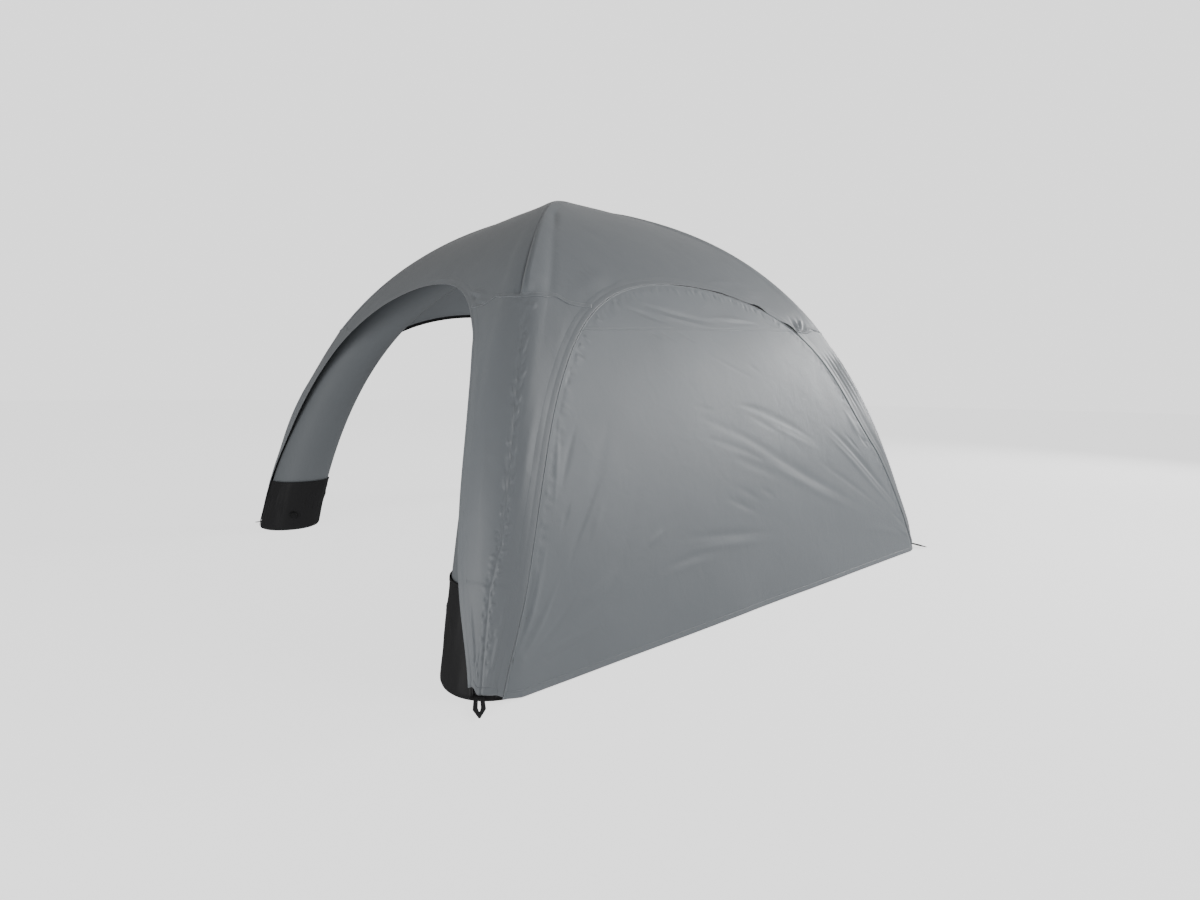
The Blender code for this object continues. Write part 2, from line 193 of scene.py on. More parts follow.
ARCH_RUN, ARCH_FLAT = arch_table()
ARCH_LENGTH = float(ARCH_RUN[-1])
WHOLE_ARCH = 2 * ARCH_LENGTH
SEAM_LENGTH = float(length_at_height(SEAM_HEIGHT))
SEAM_RUN = float(np.interp(SEAM_LENGTH, ARCH_FLAT[:, 1], ARCH_RUN))
BASE_LENGTH = float(length_at_height(SKIN_BASE))
COVER_LENGTH = float(length_at_height(COVER_BASE))
SLOPE_STEP = 0.01


def on_arch(run):
    """Across and length up the side, by the run along the arch's half."""
    return tuple(np.interp(run, ARCH_RUN, ARCH_FLAT[:, k]) for k in (0, 1))


def arch_at(run, inward=0.0):
    """Points (across, length) on the whole arch, run from one foot to the other, moved inward."""
    run = np.asarray(run, float)
    half_run = np.where(run > ARCH_LENGTH, WHOLE_ARCH - run, run)
    x, s = on_arch(half_run)
    ahead = on_arch(np.minimum(half_run + SLOPE_STEP, ARCH_LENGTH))
    behind = on_arch(np.maximum(half_run - SLOPE_STEP, 0.0))
    dx, ds = ahead[0] - behind[0], ahead[1] - behind[1]
    size = np.hypot(dx, ds)
    x = x - inward * ds / size
    s = np.maximum(s + inward * dx / size, BASE_LENGTH)
    return np.where(run > ARCH_LENGTH, x, -x), s


def arch_half_width(s):
    return np.interp(s, ARCH_FLAT[:, 1], ARCH_FLAT[:, 0])


def arch_distance(x, s):
    """Distance from the arch, measured over the cloth."""
    flat = np.stack(np.broadcast_arrays(np.abs(x), s), -1).reshape(-1, 2)
    line = np.stack(on_arch(ARCH_MARKS), -1)
    steps = np.diff(line, axis=0)
    nearest = np.empty(len(flat))
    for first in range(0, len(flat), CHUNK):
        gap = flat[first:first + CHUNK, None, :] - line[:-1]
        share = np.clip((gap * steps).sum(-1) / (steps * steps).sum(-1), 0.0, 1.0)
        nearest[first:first + CHUNK] = np.linalg.norm(gap - share[..., None] * steps, axis=-1).min(1)
    return nearest.reshape(np.broadcast(x, s).shape)


ARCH_MARKS = np.linspace(0.0, ARCH_LENGTH, 180)
CHUNK = 6000


def shares(count):
    """Evenly spaced shares from 0 to 1, with this many gaps between them."""
    return np.linspace(0.0, 1.0, count + 1)


def smooth_step(value, low, high):
    share = np.clip((value - low) / (high - low), 0.0, 1.0)
    return share * share * (3 - 2 * share)


def bump_at(value, middle, width):
    return np.exp(-(((value - middle) / width) ** 2))


# Folds: smooth seeded noise, and strokes that run along a curve with tapered ends.
class SmoothNoise:
    """Smooth noise from -1 to 1 over the plane, repeating far beyond any panel's size."""

    CELLS = 64

    def __init__(self, seed):
        self.lattice = np.random.default_rng(seed).uniform(-1.0, 1.0, (self.CELLS, self.CELLS))

    def __call__(self, x, y):
        column, row = np.floor(x).astype(int), np.floor(y).astype(int)
        u, v = x - column, y - row
        u, v = u * u * u * (u * (6 * u - 15) + 10), v * v * v * (v * (6 * v - 15) + 10)
        low, high = row % self.CELLS, (row + 1) % self.CELLS
        near, far = column % self.CELLS, (column + 1) % self.CELLS
        bottom = self.lattice[low, near] * (1 - u) + self.lattice[low, far] * u
        top = self.lattice[high, near] * (1 - u) + self.lattice[high, far] * u
        return bottom * (1 - v) + top * v


class Fold:
    """A ridge (height above 0) or crease (below 0) along a curve through three points."""

    STEPS = 14
    REACH = 3.0

    def __init__(self, start, middle, end, width, height, peak=0.5, skew=0.0):
        a, m, b = (np.array(p, float) for p in (start, middle, end))
        bend = 2 * m - (a + b) / 2
        s = np.linspace(0.0, 1.0, self.STEPS + 1)[:, None]
        self.line = (1 - s) ** 2 * a + 2 * s * (1 - s) * bend + s * s * b
        self.width, self.height, self.peak, self.skew = width, height, peak, skew

    def __call__(self, x, s):
        rise = np.zeros_like(x)
        margin = self.REACH * self.width * (1 + abs(self.skew))
        low, high = self.line.min(0) - margin, self.line.max(0) + margin
        near = (x > low[0]) & (x < high[0]) & (s > low[1]) & (s < high[1])
        if not near.any():
            return rise
        points = np.stack([x[near], s[near]], axis=-1)[:, None, :]
        starts, steps = self.line[:-1], np.diff(self.line, axis=0)
        share = np.clip(np.sum((points - starts) * steps, -1) / np.sum(steps * steps, -1), 0.0, 1.0)
        apart = points - (starts + share[..., None] * steps)
        distance = np.hypot(apart[..., 0], apart[..., 1])
        nearest = distance.argmin(axis=1)
        each = np.arange(len(nearest))
        away = distance[each, nearest]
        gap, step = apart[each, nearest], steps[nearest]
        side = np.sign(step[:, 0] * gap[:, 1] - step[:, 1] * gap[:, 0])
        along = (nearest + share[each, nearest]) / self.STEPS
        taper = np.where(along < self.peak, along / max(self.peak, 1e-6),
                         (1 - along) / max(1 - self.peak, 1e-6))
        taper = np.clip(taper, 0.0, 1.0)
        taper = taper * taper * (3 - 2 * taper)
        width = self.width * (1 + self.skew * side) * (0.45 + 0.55 * taper)
        rise[near] = self.height * taper * np.exp(-((away / width) ** 2))
        return rise


def sum_of(folds, x, s):
    total = np.zeros_like(x)
    for fold in folds:
        total += fold(x, s)
    return total


# Meshes.
def add_piece(mesh, material, slot, *nodes):
    """A smooth piece of the mesh's own name, which takes the place of nodes of the construction."""
    piece = bpy.data.objects.new(mesh.name, mesh)
    bpy.context.scene.collection.objects.link(piece)
    mesh.materials.append(material)
    mesh.shade_smooth()
    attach(piece, "root")
    if nodes:
        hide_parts(*nodes)
    return piece


def grid_mesh(name, points, flat, closed=False):
    """Mesh of four-sided faces over rows and columns of points, with the cut cloth as its UV map.

    A closed grid joins its last column to its first, and its flat has one column more.
    """
    rows, columns = points.shape[:2]
    index = np.arange(rows * columns).reshape(rows, columns)
    if closed:
        index = np.concatenate([index, index[:, :1]], axis=1)
    flat_index = np.arange(rows * index.shape[1]).reshape(index.shape)
    faces = quads(index)
    mesh = bpy.data.meshes.new(name)
    mesh.from_pydata(points.reshape(-1, 3).tolist(), [], faces.tolist())
    corners = flat.reshape(-1, 2)[quads(flat_index).ravel()]
    mesh.uv_layers.new(name="Cloth").data.foreach_set("uv", corners.astype(np.float32).ravel())
    mesh.update()
    return mesh


def quads(index):
    corners = [index[:-1, :-1], index[:-1, 1:], index[1:, 1:], index[1:, :-1]]
    return np.stack(corners, axis=-1).reshape(-1, 4)


def add_cloth(mesh, material, slot, *nodes, thickness=CLOTH, offset=0.0):
    """A piece whose mesh is given the thickness of cloth."""
    piece = add_piece(mesh, material, slot, *nodes)
    solid = piece.modifiers.new("Thickness", "SOLIDIFY")
    solid.thickness = thickness
    solid.offset = offset
    solid.use_even_offset = False
    return piece


def fill_holes(mesh, below=math.inf):
    """Close the holes whose open edges lie below a height with a face each."""
    shape = bmesh.new()
    shape.from_mesh(mesh)
    rim = [e for e in shape.edges if e.is_boundary and max(v.co.z for v in e.verts) < below]
    bmesh.ops.holes_fill(shape, edges=rim)
    bmesh.ops.recalc_face_normals(shape, faces=shape.faces)
    shape.to_mesh(mesh)
    shape.free()


def grid_area(points):
    """Area of a grid of points in square metres."""
    across = points[:-1, 1:] - points[:-1, :-1]
    along = points[1:, :-1] - points[:-1, :-1]
    return float(np.linalg.norm(np.cross(across, along), axis=-1).sum())


# Cloth that has slipped outward or inward at an arch's edge: middle length, width, amount.
SLIPS = {
    ("right", -1): ((0.46, 0.30, 0.032),),
    ("right", 1): ((1.55, 0.36, -0.090), (1.24, 0.10, 0.012)),
    ("front", 1): ((0.50, 0.38, 0.075), (2.02, 0.07, 0.012)),
    ("front", -1): ((1.50, 0.45, -0.045),),
}
SLIP_REACH = 0.5


def slipped(side, x, s):
    """Across, moved where the cloth has slipped at an arch's edge."""
    half = arch_half_width(s)
    ridge = ridge_offset(t_at_length(s))
    outside = np.clip((ridge - np.abs(x)) / np.maximum(ridge - half, 0.01), 0.0, 1.0)
    weight = np.where(np.abs(x) > half, outside, smooth_step(SLIP_REACH + np.abs(x) - half, 0.0, SLIP_REACH))
    moved = np.zeros(np.broadcast(x, s).shape)
    for sign in (-1, 1):
        amount = sum(size * bump_at(s, middle, width) for middle, width, size in SLIPS.get((side, sign), ()))
        moved = moved + np.where(x * sign > 0, sign * amount * weight, 0.0)
    return x + moved


def side_points(side, x, s, lift, slips=True):
    """World points of a side's cloth at (across, length), lifted off the skin."""
    place, normal = skin(slipped(side, x, s) if slips else x, t_at_length(s))
    return to_world(place + (SKIN_LIFT + lift)[..., None] * normal, SIDES[side])


def cover_points(leg, d, s, lift, slips=True):
    """World points of a leg's cloth at (distance from the ridge line, length up the side)."""
    first, second = SIDES_OF_LEG[leg]
    t = t_at_length(s)
    ridge = ridge_offset(t)
    on_first = d < 0
    before, after = ridge + np.minimum(d, 0.0), np.maximum(d, 0.0) - ridge
    if slips:
        before, after = slipped(first, before, s), slipped(second, after, s)
    place, normal = skin(np.where(on_first, before, after), t)
    raised = place + (SKIN_LIFT + lift)[..., None] * normal
    return np.where(on_first[..., None], to_world(raised, SIDES[first]), to_world(raised, SIDES[second]))


# Materials. The wave texture's bands are about a thread apart at this scale over its width.
WAVE_SCALE = 0.31
TONE_SHARE = 0.05
ROUGHNESS_RANGE = 0.06
CRUMPLE, CRUMPLE_DEPTH = 0.35, 0.006
WEAVE, WEAVE_DEPTH = 0.25, 0.00025
GRAIN, GRAIN_DEPTH, GRAIN_SCALE = 0.4, 0.0001, 600.0


class Nodes:
    """Short names for making a material's nodes."""

    def __init__(self, name):
        self.material = bpy.data.materials.new(name)
        self.material.use_nodes = True
        self.tree = self.material.node_tree
        self.shader = self.tree.nodes["Principled BSDF"]

    def add(self, kind, settings=None, **inputs):
        node = self.tree.nodes.new(kind)
        for key, value in (settings or {}).items():
            setattr(node, key, value)
        for key, value in inputs.items():
            socket = node.inputs[key.replace("_", " ")]
            if isinstance(value, bpy.types.NodeSocket):
                self.tree.links.new(value, socket)
            else:
                socket.default_value = value
        return node

    def link(self, output, socket):
        self.tree.links.new(output, self.shader.inputs[socket])

    def set(self, **values):
        for key, value in values.items():
            self.shader.inputs[key.replace("_", " ")].default_value = value


def mix_colour(nodes, factor, low, high):
    mix = nodes.add("ShaderNodeMix", {"data_type": "RGBA"})
    nodes.tree.links.new(factor, mix.inputs[0])
    mix.inputs[6].default_value = (*low, 1.0)
    mix.inputs[7].default_value = (*high, 1.0)
    return mix.outputs[2]


def woven_material(name, colour, roughness, thread=0.0016, sheen=0.25, specular=0.45):
    """Coated polyester: fine plain weave, faint crumples and slight unevenness of tone."""
    nodes = Nodes(name)
    place = nodes.add("ShaderNodeTexCoord")
    cloth = place.outputs["UV"]
    world = place.outputs["Object"]
    broad = nodes.add("ShaderNodeTexNoise", Vector=world, Scale=1.7, Detail=4.0, Roughness=0.6)
    low = [c * (1 - TONE_SHARE) for c in colour]
    high = [c * (1 + TONE_SHARE) for c in colour]
    nodes.link(mix_colour(nodes, broad.outputs["Fac"], low, high), "Base Color")
    uneven = nodes.add("ShaderNodeMapRange", Value=broad.outputs["Fac"])
    uneven.inputs["To Min"].default_value = roughness - ROUGHNESS_RANGE
    uneven.inputs["To Max"].default_value = roughness + ROUGHNESS_RANGE
    nodes.link(uneven.outputs["Result"], "Roughness")
    weave = nodes.add("ShaderNodeMath", {"operation": "MAXIMUM"})
    for socket, direction in zip(weave.inputs, "XY"):
        threads = nodes.add("ShaderNodeTexWave", {"bands_direction": direction}, Vector=cloth,
                            Scale=WAVE_SCALE / thread, Distortion=0.0)
        nodes.tree.links.new(threads.outputs["Fac"], socket)
    crumples = nodes.add("ShaderNodeTexNoise", Vector=world, Scale=9.0, Detail=5.0, Roughness=0.55,
                         Distortion=0.6)
    soft = nodes.add("ShaderNodeBump", Height=crumples.outputs["Fac"], Strength=CRUMPLE,
                     Distance=CRUMPLE_DEPTH)
    fine = nodes.add("ShaderNodeBump", Height=weave.outputs["Value"], Strength=WEAVE,
                     Distance=WEAVE_DEPTH)
    nodes.tree.links.new(soft.outputs["Normal"], fine.inputs["Normal"])
    nodes.link(fine.outputs["Normal"], "Normal")
    nodes.set(Sheen_Weight=sheen, Sheen_Roughness=0.45, Specular_IOR_Level=specular)
    return nodes.material


def plain_material(name, colour, roughness):
    """Moulded plastic: one colour with a fine grain."""
    nodes = Nodes(name)
    world = nodes.add("ShaderNodeTexCoord").outputs["Object"]
    speck = nodes.add("ShaderNodeTexNoise", Vector=world, Scale=GRAIN_SCALE, Detail=3.0)
    broad = nodes.add("ShaderNodeTexNoise", Vector=world, Scale=14.0, Detail=2.0)
    low = [c * 0.82 for c in colour]
    high = [min(1.0, c * 1.18) for c in colour]
    nodes.link(mix_colour(nodes, broad.outputs["Fac"], low, high), "Base Color")
    bump = nodes.add("ShaderNodeBump", Height=speck.outputs["Fac"], Strength=GRAIN,
                     Distance=GRAIN_DEPTH)
    nodes.link(bump.outputs["Normal"], "Normal")
    nodes.set(Roughness=roughness, Metallic=0.0)
    return nodes.material


# Heights of the cloth off the skin.
POLE_LENGTH = TOP_LENGTH + CAP_LENGTH
RIDGE_PEAK = 0.017
RIDGE_SPREAD = 0.150
COVER_RIDGE = 0.10
VALLEY_LENGTHS = (2.33, 2.73, 2.97)
VALLEY_DISTANCES = (0.134, 0.085, 0.050)
VALLEY_DEPTH = 0.0028
VALLEY_WIDTH = 0.030
FACET_LEG = "front_right"
FACET_RADIUS = 0.21
FACET_BACK = 0.05
FACET_SHARE = 0.90
CROWN_RISE = -0.004
CROWN_REACH = 0.20
EDGE_FADE = 0.035
RIDGE_FADE = 0.08
SLEEVE_LENGTH = float(length_at_height(SLEEVE_TOP))
SLEEVE_PRINT = 0.0018
SHARED_WAVE = 0.0032
SIDE_RIPPLE = 0.0010
LEG_WAVE, LEG_RIPPLE = 0.0018, 0.0008
WALL_WAVE, WALL_RIPPLE = 0.0040, 0.0008
GROOVE_DEPTH, GROOVE_WIDTH = 0.0028, 0.006
HATCH_TOP = 1.20
FOOT_FOLDS = 9
LONG_FOLDS = 8
# Short folds beside a cover's seam: reach aside, rise, step to the next, width and height.
HATCH_RANGES = ((0.020, 0.042), (-0.008, 0.018), (0.012, 0.021), (0.0055, 0.0085), (0.0030, 0.0058))
PUCKER_RANGES = ((0.012, 0.036), (0.05, 0.12), (0.020, 0.042), (0.0060, 0.0095), (0.0026, 0.0055))
PUCKER_LENGTHS = (0.53, 0.86, 1.03, 1.30, 1.59, 2.05)
PUCKER_LINE = {"front_right": (0.014, 0.016, 0.046, 0.056, 0.050, 0.036)}
SIDE_NOISE = {side: SmoothNoise(20 + i) for i, side in enumerate(SIDES)}
LEG_NOISE = {leg: SmoothNoise(40 + i) for i, leg in enumerate(LEGS)}
WALL_NOISE = SmoothNoise(60)

# Folds on the roof's sides, as (across, length) in metres.
SIDE_FOLDS = {
    "right": [
        Fold((0.985, 2.195), (0.975, 2.27), (0.955, 2.37), 0.016, -0.012, peak=0.35),
        Fold((0.992, 2.200), (1.010, 2.27), (1.010, 2.36), 0.013, 0.013, peak=0.35),
        Fold((1.004, 2.200), (1.045, 2.27), (1.065, 2.37), 0.016, -0.014, peak=0.35),
        Fold((1.012, 2.205), (1.075, 2.28), (1.110, 2.36), 0.013, 0.009, peak=0.35),
        Fold((1.020, 2.205), (1.105, 2.27), (1.165, 2.36), 0.014, -0.009, peak=0.35),
        Fold((0.15, 2.55), (0.45, 2.60), (0.80, 2.63), 0.030, 0.0035),
        Fold((0.30, 2.53), (0.60, 2.545), (0.90, 2.53), 0.028, 0.0030),
        Fold((0.45, 2.50), (0.66, 2.50), (0.86, 2.46), 0.020, 0.0030),
        Fold((-1.10, 2.27), (-0.85, 2.42), (-0.62, 2.60), 0.050, 0.0030),
        Fold((-0.95, 2.25), (-0.78, 2.37), (-0.60, 2.46), 0.030, -0.0020),
    ],
    "front": [
        Fold((0.80, 2.345), (0.95, 2.300), (1.13, 2.250), 0.016, 0.0075),
        Fold((0.82, 2.315), (0.96, 2.275), (1.13, 2.232), 0.012, -0.0070),
        Fold((0.92, 2.285), (1.02, 2.250), (1.14, 2.215), 0.013, 0.0065),
        Fold((0.98, 2.235), (1.05, 2.220), (1.14, 2.195), 0.012, -0.0040),
        Fold((0.05, 2.525), (0.22, 2.515), (0.42, 2.500), 0.022, 0.0050),
        Fold((-1.05, 2.26), (-0.75, 2.45), (-0.30, 2.60), 0.060, 0.0030),
    ],
    "left": [
        Fold((-0.80, 2.34), (-0.96, 2.29), (-1.13, 2.24), 0.018, 0.0060),
        Fold((0.85, 2.32), (0.98, 2.28), (1.12, 2.24), 0.016, 0.0060),
        Fold((0.90, 2.28), (1.02, 2.25), (1.14, 2.21), 0.013, -0.0050),
    ],
    "back": [
        Fold((-0.82, 2.33), (-0.96, 2.28), (-1.12, 2.23), 0.017, 0.0065),
        Fold((0.84, 2.33), (0.97, 2.29), (1.13, 2.24), 0.018, 0.0060),
        Fold((-0.30, 2.54), (0.05, 2.56), (0.40, 2.53), 0.026, 0.0035),
    ],
}

# Folds beside the nearest leg's ridge, as (distance from the ridge line, length) in metres.
NEAR_LEG_FOLDS = [
    Fold((0.004, 2.195), (0.024, 2.245), (0.020, 2.310), 0.018, 0.0140, peak=0.4),
    Fold((-0.016, 2.190), (-0.010, 2.235), (-0.002, 2.290), 0.012, -0.0080, peak=0.4),
    Fold((-0.014, 2.165), (0.000, 2.150), (0.030, 2.110), 0.010, 0.0055),
    Fold((0.034, 2.175), (0.042, 2.145), (0.034, 2.105), 0.010, 0.0055),
    Fold((0.070, 2.180), (0.068, 2.150), (0.052, 2.115), 0.011, 0.0045),
    Fold((0.040, 3.08), (0.062, 2.93), (0.090, 2.78), 0.026, -0.0060, peak=0.35),
]


def pucker_line(leg, s):
    """Distance of a cover's middle seam from its leg's ridge line."""
    return np.interp(s, PUCKER_LENGTHS, PUCKER_LINE.get(leg, (0.0,) * len(PUCKER_LENGTHS)))


def seam_puckers(leg, random):
    """Short folds that lean out to both sides of the seam down the middle of a leg's cover."""
    folds = []
    s, side = COVER_LENGTH + 0.09, 1.0
    while s < SEAM_LENGTH - 0.14:
        middle = float(pucker_line(leg, s))
        ranges = HATCH_RANGES if s < HATCH_TOP else PUCKER_RANGES
        reach, rise, step, width, height = (random.uniform(*ends) for ends in ranges)
        start = (middle + 0.004 * side, s)
        half_way = (middle + 0.6 * reach * side, s + 0.35 * rise)
        end = (middle + reach * side, s + rise)
        height *= random.choice([1.0, -0.8], p=[0.6, 0.4])
        folds.append(Fold(start, half_way, end, width, height, peak=0.35))
        s, side = s + step, -side
    return folds


def long_folds(random, height):
    """Faint lengthwise folds over a leg's cover."""
    folds = []
    for _ in range(LONG_FOLDS):
        low, high = random.uniform(0.75, 1.30), random.uniform(1.50, 2.15)
        aside = random.choice([-1.0, 1.0]) * random.uniform(0.35, 0.85)
        width = random.uniform(0.014, 0.030)
        places = [(aside * cover_half(s), s) for s in (low, (low + high) / 2, high)]
        folds.append(Fold(*places, width, height * random.uniform(0.5, 1.0) * random.choice([-1.0, 1.0])))
    return folds


def cover_half(s):
    """Half of a leg cover's width at a length up it."""
    return ridge_offset(t_at_length(s)) - arch_half_width(s)


def foot_folds(random):
    """Short diagonal folds where a cover is drawn in round the foot."""
    folds = []
    for _ in range(FOOT_FOLDS):
        d, s = random.uniform(-0.09, 0.09), random.uniform(0.53, 0.72)
        dx, ds = random.uniform(0.020, 0.045) * random.choice([-1.0, 1.0]), random.uniform(0.015, 0.045)
        half_way, end = (d + dx / 2, s + ds * 0.6), (d + dx, s + ds)
        folds.append(Fold((d, s), half_way, end, 0.010, random.uniform(0.0025, 0.0050)))
    return folds


def cover_folds(leg):
    random = np.random.default_rng(300 + list(LEGS).index(leg))
    folds = seam_puckers(leg, random) + foot_folds(random) + long_folds(random, 0.0030)
    for sign in (-1.0, 1.0):
        edge = [(sign * (cover_half(s) - 0.052), s) for s in (0.50, 0.70, 0.92)]
        folds.append(Fold(*edge, 0.011, 0.0050, peak=0.4))
    if leg == "rear_right":
        for k in range(6):
            high = (-0.055 - 0.055 * k, 2.17 - 0.02 * k)
            low = (-0.030 - 0.026 * k, 1.28 + 0.05 * k)
            half_way = (-0.044 - 0.041 * k, 1.74)
            folds.append(Fold(high, half_way, low, 0.013, 0.0070, peak=0.3))
            folds.append(Fold(*[(d - 0.024, s) for d, s in (high, half_way, low)], 0.012, -0.0060, peak=0.3))
    if leg == "front_right":
        folds += NEAR_LEG_FOLDS
    return folds


LEG_FOLDS = {leg: cover_folds(leg) for leg in LEGS}


def ridge_form(d, s):
    """Peak of a roof's ridge seam. On one side of it a facet ends in a shallow valley."""
    valley = np.interp(s, VALLEY_LENGTHS, VALLEY_DISTANCES)
    share = np.maximum(1.0 - np.abs(d) / np.where(d > 0, valley, RIDGE_SPREAD), 0.0)
    peak = RIDGE_PEAK * np.where(d > 0, share, share**2)
    peak -= VALLEY_DEPTH * bump_at(d, valley, VALLEY_WIDTH) * smooth_step(s, SEAM_LENGTH, SEAM_LENGTH + 0.15)
    rise = COVER_RIDGE + (1.0 - COVER_RIDGE) * smooth_step(s, SEAM_LENGTH - 0.30, SEAM_LENGTH + 0.10)
    return peak * rise * (1.0 - smooth_step(s, POLE_LENGTH - 0.35, POLE_LENGTH - 0.10))


def facet_form(d, s):
    """Roof pulled flat from its ridge to the facet's valley, where it would wrap round the tube."""
    valley = np.interp(s, VALLEY_LENGTHS, VALLEY_DISTANCES)
    angle = np.maximum(np.where(d > 0, valley, FACET_BACK) - np.abs(d), 0.0) / FACET_RADIUS
    flat = FACET_RADIUS * (1.0 / np.cos(angle) - 1.0)
    low_end = smooth_step(s, SEAM_LENGTH - 0.02, SEAM_LENGTH + 0.12)
    return FACET_SHARE * flat * low_end


def leg_height(leg, d, s):
    """Height of the cloth near a leg, by distance from its ridge line and length up."""
    noise = LEG_NOISE[leg]
    below = 1.0 - smooth_step(s, SEAM_LENGTH, SEAM_LENGTH + 0.25)
    ridge = ridge_form(d, s)
    if leg == FACET_LEG:
        ridge = (ridge + facet_form(d, s)) * (1.0 - smooth_step(s, POLE_LENGTH - 1.05, POLE_LENGTH - 0.45))
    lift = ridge + below * (LEG_WAVE * noise(d * 9 + 2, s * 2) + LEG_RIPPLE * noise(d * 22, s * 5 + 9))
    groove = bump_at(d, pucker_line(leg, s), GROOVE_WIDTH)
    lift -= GROOVE_DEPTH * groove * below
    lift += SLEEVE_PRINT * (1.0 - smooth_step(s + 0.06 * d, SLEEVE_LENGTH - 0.008, SLEEVE_LENGTH + 0.008))
    return lift + sum_of(LEG_FOLDS[leg], d, s)


def common_height(side, x, s):
    """Slow unevenness that the cloth, its hems, the zip and the wall share."""
    ridge = ridge_offset(t_at_length(s))
    noise = SIDE_NOISE[side]
    return SHARED_WAVE * noise(x * 2.3 + 7, s * 3.1) * smooth_step(ridge - np.abs(x), 0.0, RIDGE_FADE)


def skin_height(side, x, s):
    """Height of a roof face or cover off the plain skin, at (across, length)."""
    x, s = np.broadcast_arrays(np.asarray(x, float), np.asarray(s, float))
    ridge = ridge_offset(t_at_length(s))
    noise = SIDE_NOISE[side]
    inner = SIDE_RIPPLE * noise(x * 7 + 3, s * 9 + 5) + sum_of(SIDE_FOLDS[side], x, s)
    lift = inner * smooth_step(ridge - np.abs(x), 0.0, RIDGE_FADE)
    above = x >= 0
    lift[above] += leg_height(LEG_ABOVE[side], (x - ridge)[above], s[above])
    lift[~above] += leg_height(LEG_BELOW[side], (x + ridge)[~above], s[~above])
    away = np.hypot(x, POLE_LENGTH - s)
    lift *= smooth_step(arch_distance(x, s), 0.0, EDGE_FADE)
    return common_height(side, x, s) + lift + CROWN_RISE * smooth_step(CROWN_REACH - away, 0.0, CROWN_REACH)


def cover_height(leg, d, s):
    """Height of a leg's cloth off the plain skin, at (distance from the ridge, length)."""
    d, s = np.broadcast_arrays(np.asarray(d, float), np.asarray(s, float))
    first, second = SIDES_OF_LEG[leg]
    ridge = ridge_offset(t_at_length(s))
    lift = np.empty(d.shape)
    before = d < 0
    lift[before] = skin_height(first, (ridge + d)[before], s[before])
    lift[~before] = skin_height(second, (d - ridge)[~before], s[~before])
    return lift


def seam_shift(d):
    """How far the seam below the roof rises above its own height, by distance from the ridge."""
    return 0.043 * bump_at(np.abs(d), 0.165, 0.075) - 0.020 * bump_at(d, 0.0, 0.05)


def graded(low, high, count, density):
    """Places from low to high, closer together where the density is higher."""
    fine = np.linspace(low, high, 2001)
    weight = np.concatenate([[0.0], np.cumsum(density((fine[1:] + fine[:-1]) / 2))])
    return np.interp(np.linspace(0.0, weight[-1], count + 1), weight, fine)


# Roof.
ROOF_ARCH_COLUMNS = 116
ROOF_SEAM_COLUMNS = 25
ROOF_ROWS = 74
ROOF_CAP_ROWS = 8


def roof_rows():
    """Columns and rows of a roof face as (across, length), from its lower edge to the pole."""
    low, high = SEAM_RUN, WHOLE_ARCH - SEAM_RUN
    near_corner = lambda run: 1.0 + 2.2 * (bump_at(run, low, 0.22) + bump_at(run, high, 0.22))
    arch_x, arch_s = arch_at(graded(low, high, ROOF_ARCH_COLUMNS, near_corner))
    outer = arch_x[-1]
    ridge = float(ridge_offset(t_at_length(SEAM_LENGTH)))
    aside = outer + (ridge - outer) * shares(ROOF_SEAM_COLUMNS)[1:]
    x = np.concatenate([-aside[::-1], arch_x, aside])
    shift = seam_shift(ridge - aside) * smooth_step(aside - outer, 0.0, 0.10)
    s = np.concatenate([(SEAM_LENGTH + shift)[::-1], arch_s, SEAM_LENGTH + shift])
    on_seam = np.full(len(aside), ridge)
    fraction = x / np.concatenate([on_seam, ridge_offset(t_at_length(arch_s)), on_seam])
    share = shares(ROOF_ROWS)[:, None] ** 1.25
    s_rows = s + (TOP_LENGTH - s) * share
    x_rows = fraction * ridge_offset(t_at_length(s_rows))
    cap = shares(ROOF_CAP_ROWS)[1:, None]
    s_cap = np.broadcast_to(TOP_LENGTH + CAP_LENGTH * cap * 0.985, (ROOF_CAP_ROWS, len(x)))
    x_cap = np.broadcast_to(x_rows[-1], s_cap.shape)
    return np.concatenate([x_rows, x_cap]), np.concatenate([s_rows, s_cap])


def add_roof_panel(side, material, trims):
    x, s = roof_rows()
    points = side_points(side, x, s, skin_height(side, x, s))
    mesh = grid_mesh(f"roof_panel_{side}_cloth", points, np.stack([x, s], -1))
    piece = add_cloth(mesh, material, "roof_fabric", f"roof_panel_{side}")


# Leg covers.
COVER_COLUMNS = 64
COVER_ROWS = 150
NEAR_COVER_ROWS = 290
COVER_SLIP = {"front_right": 0.027}


def seam_line(u):
    """The seam below the roof over a leg, as (distance from the ridge, length), u from -1 to 1."""
    half = cover_half(SEAM_LENGTH)
    d = half * u
    return d, SEAM_LENGTH + seam_shift(d) * smooth_step(half - np.abs(d), 0.0, 0.10)


def cover_base(leg, u):
    """Length at a cover's lower edge, u from -1 to 1. The front right one has slipped down."""
    return COVER_LENGTH - COVER_SLIP.get(leg, 0.0) * smooth_step(u, -0.9, -0.1)


def cover_grid(leg):
    middle = float(pucker_line(leg, 1.3)) / 0.2
    density = lambda u: 1.0 + 2.2 * bump_at(u, middle, 0.20) + 1.2 * bump_at(np.abs(u), 1.0, 0.14)
    u = graded(-1.0, 1.0, COVER_COLUMNS, density)[None, :]
    base = cover_base(leg, u)
    rows = NEAR_COVER_ROWS if leg == FACET_LEG else COVER_ROWS
    s = base + (SEAM_LENGTH - base) * shares(rows)[:, None]
    rise = (seam_line(u)[1] - SEAM_LENGTH) * smooth_step(s, SEAM_LENGTH - 0.40, SEAM_LENGTH)
    return cover_half(s) * u, s + rise


